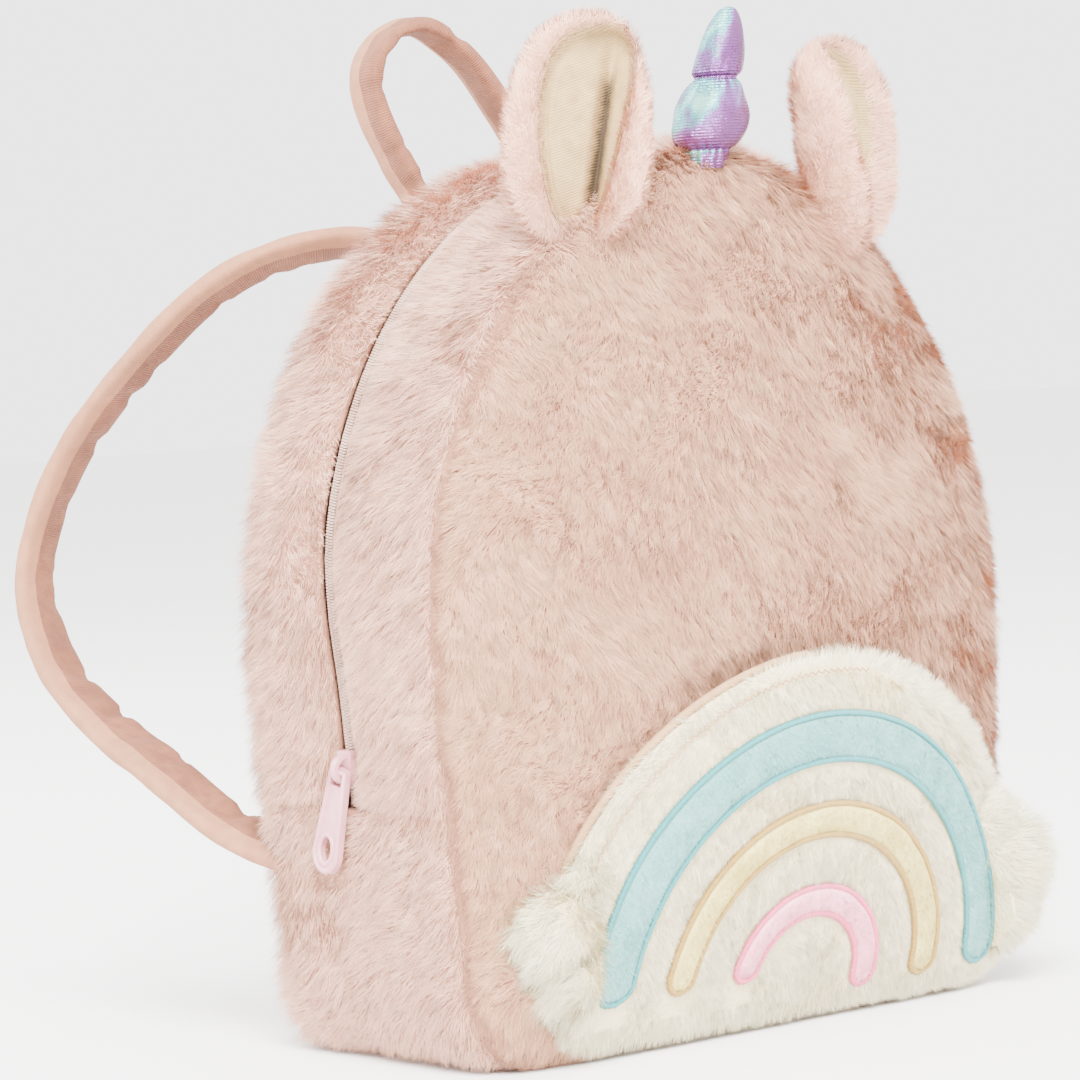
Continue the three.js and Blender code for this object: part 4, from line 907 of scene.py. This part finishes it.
def add_pocket():
    rows, columns = 32, 150
    reach = np.sin(np.linspace(0.0005, math.pi / 2, rows))
    share = np.linspace(0, 1, columns, endpoint=False)
    rim = POCKET.at(share)
    place = POCKET.centre + reach[:, None, None] * (rim[None] - POCKET.centre)
    x, z = place[..., 0], place[..., 1]
    back = front_face(x, z) - pocket_stand_off(x, z, reach[:, None])
    face = back - POCKET_WALL * (0.4 + 0.6 * np.sqrt(1 - reach[:, None] ** 8))
    flat = np.stack([x, face, z], -1).reshape(-1, 3)
    lumps = 0.5 * smooth_noise(flat, 34, 61) + 0.35 * smooth_noise(flat, 13, 62)
    face = face + lumps.reshape(face.shape) * 0.6 * smoothstep(1 - reach, 0, 0.1)[:, None]
    outer = np.stack([x, face, z], -1)
    inner = np.stack([x, back, z], -1)
    count = rows * columns
    faces = grid_faces(rows, columns, True)
    rim_row = (rows - 1) * columns + np.arange(columns)
    after = np.roll(rim_row, -1)
    rim_faces = np.stack([rim_row, after, after + count, rim_row + count], -1)
    points = stack(outer, inner)
    every = np.vstack([faces, faces[:, ::-1] + count, rim_faces])
    middle = np.array([POCKET_X, 0, 40.0])
    piece = new_piece("pocket_skin", points, outward(points, every, middle), [CREAM_GROUND])
    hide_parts("pocket")
    inward = np.array([0.3, 0.6, 0.9])[:, None, None]
    edge = outer[-1][None] * (1 - inward) + inner[-1][None] * inward
    skin = Skin(np.concatenate([outer, edge]), True, middle)

    def from_band(p):
        radius = np.hypot(p[:, 0] - RAINBOW_X, p[:, 2] - POCKET_Z)
        gaps = [np.abs(radius - middle_radius) - width / 2 for middle_radius, width in BANDS.values()]
        return np.where(p[:, 2] > 11, np.min(gaps, 0), 9.0)

    off_bands = lambda p: (from_band(p) > 0.7).astype(float)
    beside = lambda p: 0.5 + 0.5 * smoothstep(from_band(p), 0.7, 5)

    def flow(p):
        x, z = p[:, 0] - POCKET_X, p[:, 2] - POCKET_Z
        near_rim = smoothstep(POCKET.reach_of(p[:, 0], p[:, 2]), 0.9, 1.0) * (0.1 + 2.1 * smoothstep(x, -45, 5))
        sideways = -0.35 + 0.4 * smooth_noise(p, 60, 63) + near_rim * x / 60
        return np.stack([sideways, 0 * x, -1 + near_rim * np.maximum(z, 0) / 60], -1)

    grow("pocket_fur", skin, 76000, flow, 4.2, CREAM, clump=2.4, rise=1.0,
         keep=off_bands, short=beside, contrast=0.4, relief=0.6)
    add_pocket_trim()


def add_pocket_trim():
    """The lining's edge that shows behind the pocket's upper left rim, and the zigzag stitches inside it."""
    angle = np.linspace(math.radians(93), math.radians(163), 90)
    edge_radius = POCKET_RADIUS + 1.1
    x, z = POCKET_X + edge_radius * np.cos(angle), POCKET_Z + edge_radius * np.sin(angle)
    y = front_face(x, z) - pocket_stand_off(x, z, np.ones(90)) - 0.8
    lining = velvet("pocket_lining", "bb946c", "94704c", 0.8)
    add_tube("pocket_lining_edge", np.stack([x, y, z], -1), 1.3, [lining], 10)
    angle = np.linspace(math.radians(80), math.radians(166), 110)
    wave = POCKET_RADIUS - 4.4 + 0.5 * np.where(np.arange(110) % 2 == 0, 1, -1)
    x, z = POCKET_X + wave * np.cos(angle), POCKET_Z + wave * np.sin(angle)
    thread = moulded("stitch_thread", "b88d62", "9c7650")
    route = np.stack([x, pocket_face(x, z) - 1.5, z], -1)
    add_tube("pocket_stitches", route, 0.28, [thread], 5)


def add_tube(name, route, radius, mats, around=8, up=(0, 1.0, 0), body="bag"):
    """A round tube along a route that stays square to up."""
    along = unit(np.gradient(route, axis=0))
    aside = unit(np.cross(along, np.broadcast_to(up, along.shape)))
    over = np.cross(along, aside)
    angle = np.linspace(0, 2 * math.pi, around, endpoint=False)
    cos, sin = np.cos(angle)[None, :, None], np.sin(angle)[None, :, None]
    grid = route[:, None] + radius * (aside[:, None] * cos + over[:, None] * sin)
    points, count = grid.reshape(-1, 3), len(route)
    faces = grid_faces(count, around, True)
    corner = points[faces]
    normal = np.cross(corner[:, 1] - corner[:, 0], corner[:, 2] - corner[:, 0])
    if ((corner.mean(1) - np.repeat(route[:-1], around, 0)) * normal).sum() < 0:
        faces = faces[:, ::-1]
    first, last = list(range(around)), list(range(count * around - 1, (count - 1) * around - 1, -1))
    every = [list(f) for f in faces] + [first, last]
    travel = np.concatenate([[0], np.cumsum(np.linalg.norm(np.diff(route, axis=0), axis=1))])
    shape = (count, around)
    uv = np.stack([np.broadcast_to(angle * radius, shape), np.broadcast_to(travel[:, None], shape)], -1)
    return new_piece(name, points, every, mats, uv=uv.reshape(-1, 2) / 1000, body=body)


def add_bands():
    outlines = {"blue": "2f7f82", "yellow": "9a7a34", "pink": "d0587c"}
    plush = {"blue": BLUE, "yellow": YELLOW, "pink": ROSE}
    grounds = {"blue": ("72a49e", "5b8f8b"), "yellow": ("dacd84", "beab5f"), "pink": ("f3abbd", "dc8ca0")}
    for name, (radius, width) in BANDS.items():
        low = math.asin((BAND_FEET[0] - POCKET_Z) / radius)
        high = math.pi - math.asin((BAND_FEET[1] - POCKET_Z) / radius)
        steps, across = 120, 17
        share = np.linspace(0, 1, steps)
        angle = low + (high - low) * share
        from_end = np.minimum(share, 1 - share) * radius * (high - low) / (width / 2)
        half = width / 2 * np.sqrt(np.maximum(1 - (1 - np.minimum(from_end + 0.03, 1)) ** 2, 0.002))
        offset = np.sin(np.linspace(-math.pi / 2, math.pi / 2, across))
        r = radius + offset[None] * half[:, None]
        x = RAINBOW_X + r * np.cos(angle)[:, None]
        z = POCKET_Z + r * np.sin(angle)[:, None]
        crown = 2.2 * (1 - np.abs(offset) ** 3.0)[None] ** 0.6 * np.minimum(half / (width / 2), 1)[:, None]
        flat = np.stack([x, 0 * x, z], -1).reshape(-1, 3)
        crown = crown * (1 + 0.18 * smooth_noise(flat, 12, 71).reshape(crown.shape))
        base = pocket_face(x, z)
        outer = np.stack([x, base - crown, z], -1)
        inner = np.stack([x, base + 0.6, z], -1)
        points = stack(outer, inner)
        count = steps * across
        faces = grid_faces(steps, across)
        walls = []
        for k, line in enumerate((np.arange(across), (steps - 1) * across + np.arange(across),
                                  np.arange(steps) * across, np.arange(steps) * across + across - 1)):
            a, b = line[:-1], line[1:]
            quad = np.stack([a, b, b + count, a + count], -1)
            walls.append(quad if k in (1, 2) else quad[:, ::-1])
        every = np.vstack([faces, faces[:, ::-1] + count, *walls])
        middle = np.array([RAINBOW_X, 0, POCKET_Z])
        ground = plush_ground(name + "_ground", *grounds[name])
        piece = new_piece("band_skin_" + name, points, outward(points, every, middle), [ground])
        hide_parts("band_" + name)
        skin = Skin(outer, False, middle)

        def inside(p, radius=radius, width=width):
            edge = np.abs(np.hypot(p[:, 0] - RAINBOW_X, p[:, 2] - POCKET_Z) - radius)
            return (edge < width / 2 - 1.3).astype(float)

        flow = lambda p: np.stack([-0.3 * np.ones(len(p)), np.zeros(len(p)), -np.ones(len(p))], -1)
        grow("band_fur_" + name, skin, int(9 * radius * width), flow, 2.2, plush[name],
             width=0.2, clump=1.6, rise=1.2, keep=inside)
        # satin stitches over the band's edge: short rods laid across it
        ring = [(radius + half[k], angle[k]) for k in range(steps)]
        ring += [(radius - half[k], angle[k]) for k in range(steps - 1, -1, -1)]
        path = np.array([(RAINBOW_X + r * math.cos(a), POCKET_Z + r * math.sin(a)) for r, a in ring])
        add_satin("band_edge_" + name, path, outlines[name])


def add_satin(name, path, colour):
    """A satin-stitched line: rods laid side by side across a closed path on the pocket's face."""
    closed = np.vstack([path, path[:1]])
    steps = np.linalg.norm(np.diff(closed, axis=0), axis=1)
    travel = np.concatenate([[0], np.cumsum(steps)])
    count = int(travel[-1] / 0.55)
    spots = np.linspace(0, travel[-1], count, endpoint=False)
    x = np.interp(spots, travel, closed[:, 0])
    z = np.interp(spots, travel, closed[:, 1])
    ahead = np.stack([np.roll(x, -1) - np.roll(x, 1), np.roll(z, -1) - np.roll(z, 1)], -1)
    ahead = unit(ahead)
    across = np.stack([ahead[:, 1], -ahead[:, 0]], -1)
    points, faces = [], []
    section = [(-1.0, 0.0), (-0.45, 0.55), (0.45, 0.55), (1.0, 0.0)]
    for k in range(count):
        base = len(points)
        wide = 1.05 * (1 + 0.12 * math.sin(k * 2.4))
        for along in (-0.24, 0.24):
            for out, level in section:
                px = x[k] + across[k, 0] * out * wide + ahead[k, 0] * along
                pz = z[k] + across[k, 1] * out * wide + ahead[k, 1] * along
                points.append((px, level, pz))
        faces += [(base, base + 1, base + 5, base + 4), (base + 1, base + 2, base + 6, base + 5),
                  (base + 2, base + 3, base + 7, base + 6), (base + 3, base, base + 4, base + 7),
                  (base, base + 3, base + 2, base + 1), (base + 4, base + 5, base + 6, base + 7)]
    points = np.array(points)
    lift = points[:, 1].copy()
    points[:, 1] = pocket_face(points[:, 0], points[:, 2]) - 0.9 - lift * 1.8
    n = Nodes(name + "_thread", 0.5)
    n.link(n.ramp(n.noise(700, 2), [(0.3, colour), (0.8, tint(colour, 1.12))]), n.shader.inputs["Base Color"])
    n.sheen(0.2, "ffffff", 0.3)
    new_piece(name, points, faces, [n.mat])


def tint(hex_colour, factor):
    return "".join("%02x" % min(255, int(int(hex_colour[i:i + 2], 16) * factor)) for i in (0, 2, 4))


def add_puffs():
    heads = [(-0.1, 0.15, 0.85), (0.0, 0.03, 1.05), (-0.06, -0.1, 1.0)]
    for name, side in (("left", -1), ("right", 1)):
        points, faces, skins = [], [], []
        for k, (aside, up, size) in enumerate(heads):
            radius = PUFF_RADIUS * size
            centre = np.array([
                RAINBOW_X + side * (PUFF_OUT + aside * POCKET_RADIUS), -SEAM - 0.55 * radius,
                PUFF_UP + up * POCKET_RADIUS])
            turn = np.linspace(0, 2 * math.pi, 40, endpoint=False)[None]
            rise = np.linspace(0.03, math.pi - 0.03, 22)[:, None]
            level = np.sin(rise)
            ball = np.stack([level * np.cos(turn), level * np.sin(turn), np.cos(rise) + 0 * turn], -1)
            lumps = 1 + 0.07 * smooth_noise(ball.reshape(-1, 3) * 10 + k * 7, 9, 81).reshape(22, 40)
            grid = centre + ball * (radius * lumps)[..., None]
            # pushed aside by the rainbow's outermost band
            arm = grid[..., [0, 2]] - (RAINBOW_X, POCKET_Z)
            reach = np.linalg.norm(arm, axis=-1)
            least = BANDS["blue"][0] + BANDS["blue"][1] / 2 + 1.2
            grid[..., [0, 2]] = (RAINBOW_X, POCKET_Z) + arm * np.maximum(least / reach, 1)[..., None]
            base = sum(len(p) for p in points)
            points.append(grid.reshape(-1, 3))
            turned = outward(grid.reshape(-1, 3), grid_faces(22, 40, True), centre)
            faces.append(turned + base)
            skins.append((Skin(grid, True, centre), centre, radius))
        piece = new_piece("cloud_skin_" + name, np.vstack(points), np.vstack(faces), [CREAM_GROUND])
        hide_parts("cloud_puff_" + name)
        for k, (skin, centre, radius) in enumerate(skins):
            droop = np.array([0.7 * side, -0.1, -0.6]) * 6
            flow = lambda p, centre=centre: (p - centre) * (1, 0.6, 1) * 0.5 + droop
            outermost = BANDS["blue"][0] + BANDS["blue"][1] / 2
            off_rainbow = lambda p: np.hypot(p[:, 0] - RAINBOW_X, p[:, 2] - POCKET_Z) > outermost + 1.6
            off_panel = lambda p: (p[:, 1] < -SEAM + 4) | (np.abs(p[:, 0]) > WIDTH / 2 - 2)
            open_side = lambda p: (off_panel(p) & off_rainbow(p)).astype(float)
            grow("cloud_fur_%s_%d" % (name, k), skin, 9000, flow, 7.0, CREAM, clump=3.0, rise=1.1,
                 keep=open_side, relief=0.5, contrast=0.6)


# Straps and handle

def through(points, count):
    """Evenly spaced points of a centripetal spline through points."""
    points = np.asarray(points, float)
    padded = np.vstack([2 * points[0] - points[1], points, 2 * points[-1] - points[-2]])
    found = []
    for k in range(len(points) - 1):
        p0, p1, p2, p3 = padded[k:k + 4]
        d0, d1, d2 = (max(np.linalg.norm(b - a) ** 0.5, 1e-4) for a, b in ((p0, p1), (p1, p2), (p2, p3)))
        t1 = ((p1 - p0) / d0 - (p2 - p0) / (d0 + d1) + (p2 - p1) / d1) * d1
        t2 = ((p2 - p1) / d1 - (p3 - p1) / (d1 + d2) + (p3 - p2) / d2) * d1
        t = np.linspace(0, 1, 40, endpoint=False)[:, None]
        found.append(p1 + t1 * t + (-3 * p1 + 3 * p2 - 2 * t1 - t2) * t ** 2 + (2 * p1 - 2 * p2 + t1 + t2) * t ** 3)
    curve = np.vstack([*found, points[-1:]])
    travel = np.concatenate([[0], np.cumsum(np.linalg.norm(np.diff(curve, axis=0), axis=1))])
    spots = np.linspace(0, travel[-1], count)
    return np.stack([np.interp(spots, travel, curve[:, k]) for k in range(3)], -1), travel[-1]


def velvet_band(name, route, width, thickness, width_at, node, seam_at, mats):
    """A padded velvet band with a seam near its outer edge and wrinkles on its inner face."""
    steps = 170
    middle, length = through(route, steps)
    along = unit(np.gradient(middle, axis=0))
    level = unit(np.cross(along, width_at(middle)))
    aside = unit(np.cross(level, along))
    around = 44
    angle = np.linspace(0, 2 * math.pi, around, endpoint=False)
    rounded = lambda v, power: np.sign(v) * np.abs(v) ** power
    across = rounded(np.cos(angle), 0.45)
    height = rounded(np.sin(angle), 0.75)
    from_seam = across - seam_at
    shrink = (1 - 0.3 * np.exp(-((from_seam + 0.06) / 0.07) ** 2)
              + 0.14 * np.exp(-((from_seam - 0.06) / 0.07) ** 2))
    share = np.linspace(0, 1, steps)
    flat = middle[:, None] + aside[:, None] * (across * width / 2)[None, :, None]
    bumps = smooth_noise(flat.reshape(-1, 3), 17, 91).reshape(steps, around) * 0.35
    puckers = np.maximum(smooth_noise(np.stack([share * length, 0 * share, 0 * share], -1), 17, 92) - 0.1, 0)
    inner_half = smoothstep(seam_at - across, 0.05, 0.5)
    creases = puckers[:, None] * (height * inner_half)[None] * 1.3
    out = (height * shrink)[None] * (thickness / 2) + height[None] * bumps - creases
    wide = across[None] * (width / 2) + 1.2 * puckers[:, None] * smoothstep(-across, 0.5, 1)[None]
    grid = middle[:, None] + aside[:, None] * wide[..., None] + level[:, None] * out[..., None]
    girth = np.linspace(0, 2 * (width + thickness), around)
    shape = (steps, around)
    uv = np.stack([np.broadcast_to(girth, shape), np.broadcast_to((share * length)[:, None], shape)], -1)
    uv = uv.reshape(-1, 2) / 1000
    points = grid.reshape(-1, 3)
    faces = grid_faces(steps, around, True)
    shades = np.zeros(len(faces), int)
    column = np.tile(np.arange(around), steps - 1)
    shades[across[column] > seam_at] = 1
    caps = [list(range(around)), list(range((steps - 1) * around, steps * around))]
    corner = points[faces]
    normal = np.cross(corner[:, 1] - corner[:, 0], corner[:, 2] - corner[:, 0])
    spine = np.repeat(middle[:-1], around, 0)
    if ((corner.mean(1) - spine) * normal).sum() < 0:
        faces = faces[:, ::-1]
    every = [list(f) for f in faces] + [caps[0], caps[1][::-1]]
    piece = new_piece(name + "_band", points, every, mats, uv=uv, tones=list(shades) + [0, 0])
    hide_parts(node)
    return middle, aside, level


def add_straps():
    light = velvet("strap_velvet_light", "a87454", "8c5f46", 0.7, ribs=False)
    deep = velvet("strap_velvet_deep", "87543b", "582f1f", 0.8)
    route = [(0, -0.04, 0.96), (0.02, 0.14, 0.98), (0.14, 0.31, 1.08), (0.47, 0.5, 1.04), (0.72, 0.76, 0.86),
             (0.86, 0.96, 0.67), (0.95, 1, 0.49), (1, 0.84, 0.33), (1, 0.6, 0.22), (0.98, 0.35, 0.14),
             (0.93, 0.12, 0.05), (0.86, -0.05, 0), (0.7, -0.16, -0.04)]
    foot, top = STRAP_FOOT, HANDLE_FOOT - 0.06 * HANDLE_HEIGHT - 3 - 8.0
    turn, tilt = math.radians(38), math.radians(25)
    for name, side in (("left", -1), ("right", 1)):
        points = [(side * (STRAP_TOP_OUT + (STRAP_OUT - STRAP_TOP_OUT) * out), SEAM + back * STRAP_BACK,
                   foot + (top - foot) * up) for out, back, up in route]
        centre = np.array([side * 0.7 * STRAP_OUT, SEAM + 0.2 * STRAP_BACK, (foot + top) / 2])
        facing = np.array([side * math.sin(turn), -math.cos(turn), 0])

        def width_at(middle, centre=centre, facing=facing):
            radial = middle - centre
            radial = unit(radial - facing * (radial @ facing)[:, None])
            return radial * math.sin(tilt) + facing * math.cos(tilt)

        velvet_band("strap_" + name, points, 19, 6, width_at, "strap_" + name, 0.3, [deep, light])
    handle = [(-0.95, 0, -0.06), (-1.1, 0.45, 0.14), (-1.28, 0.8, 0.36), (-1.5, 0.95, 0.6), (-1.52, 1, 0.8),
              (-1.2, 1, 0.95), (-0.72, 1, 1), (-0.22, 0.98, 0.9), (0.24, 0.93, 0.7), (0.64, 0.8, 0.45),
              (1, 0.45, 0.15), (1.02, 0, -0.06)]
    points = [(aside * 26, SEAM + back * 22, HANDLE_FOOT + up * HANDLE_HEIGHT) for aside, back, up in handle]
    lying = lambda m: np.broadcast_to([0, 1.0, 0], m.shape)
    velvet_band("handle", points, 15, 5.5, lying, "grab_handle", 0.3, [deep, light])


# Zip

def add_zip():
    tape = woven("tape_cloth", "c9ac9c", "a68171")
    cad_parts["zip_tape"].data.materials.clear()
    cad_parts["zip_tape"].data.materials.append(tape)
    end = BODY.share_at_height(ZIP_END)
    pitch = 0.9
    profile = ((0.12, 0.1), (0.12, 0.6), (0.9, 0.85), (1.5, 0.3), (1.5, -0.3), (0.5, -0.5))
    ring = len(profile)
    count = int((1 - 2 * end) * BODY.length / pitch)
    share = np.linspace(end + 0.002, 1 - end - 0.002, count)
    place, normal = BODY.at(share), BODY.normal(share)
    y = zip_line(share)
    points, faces = [], []
    for k in range(count):
        out = np.array([normal[k, 0], 0, normal[k, 1]])
        ahead = np.array([-normal[k, 1], 0, normal[k, 0]])
        middle = np.array([place[k, 0], y[k], place[k, 1]])
        for side in (-1, 1):
            base = len(points)
            slant = ahead * side * 0.28
            for across, level in profile:
                for along in (-0.25, 0.25):
                    tooth = np.array([0, side * across, 0]) + out * level + ahead * along
                    points.append(middle + tooth + slant)
            for i in range(ring):
                j = (i + 1) % ring
                faces.append((base + 2 * i, base + 2 * j, base + 2 * j + 1, base + 2 * i + 1))
            faces.append(tuple(base + 2 * i for i in range(ring))[::-1])
            faces.append(tuple(base + 2 * i + 1 for i in range(ring)))
    points = np.array(points)
    coil = moulded("coil_plastic", "c2a494", "a58473")
    new_piece("zip_coil", points, faces, [coil])
    tab = moulded("tab_plastic", "d0959e", "c08088")
    for name in ("zip_slider", "zip_pull"):
        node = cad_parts[name]
        node.data.materials.clear()
        node.data.materials.append(tab)
    # the moulded rims round the tab and its hole
    hinge = np.array([-113.951, 0, 89.757])
    down = unit(np.array([-0.0834, 0.2396, -0.9673]))
    axis = unit(np.array([-0.014, 0.9703, 0.2415]))
    out = unit(np.array([-0.9964, -0.0337, 0.0776]))
    turn = np.linspace(0.5 * math.pi, -0.5 * math.pi, 25)
    side = [(0.6, 3.1), (8, 3.65), (16, 4.4), (25.9, 5.4)]
    tip = [(25.9 + 5.4 * math.cos(t), 5.4 * math.sin(t)) for t in turn[1:-1]]
    rim = side + tip + [(s, -w) for s, w in side[::-1]] + [side[0]]
    ring = [(24.7 + 4.5 * math.cos(t), 3.3 * math.sin(t)) for t in np.linspace(0, 2 * math.pi, 33)]
    for name, path in (("tab_rim", rim), ("tab_ring", ring)):
        route = np.array([hinge + down * s + axis * w + out * 0.75 for s, w in path])
        add_tube(name, route, 0.8, [tab], 10, out, "pull")


add_camera()
add_studio()
add_body()
add_ears()
add_horn()
add_pocket()
add_bands()
add_puffs()
add_straps()
add_zip()
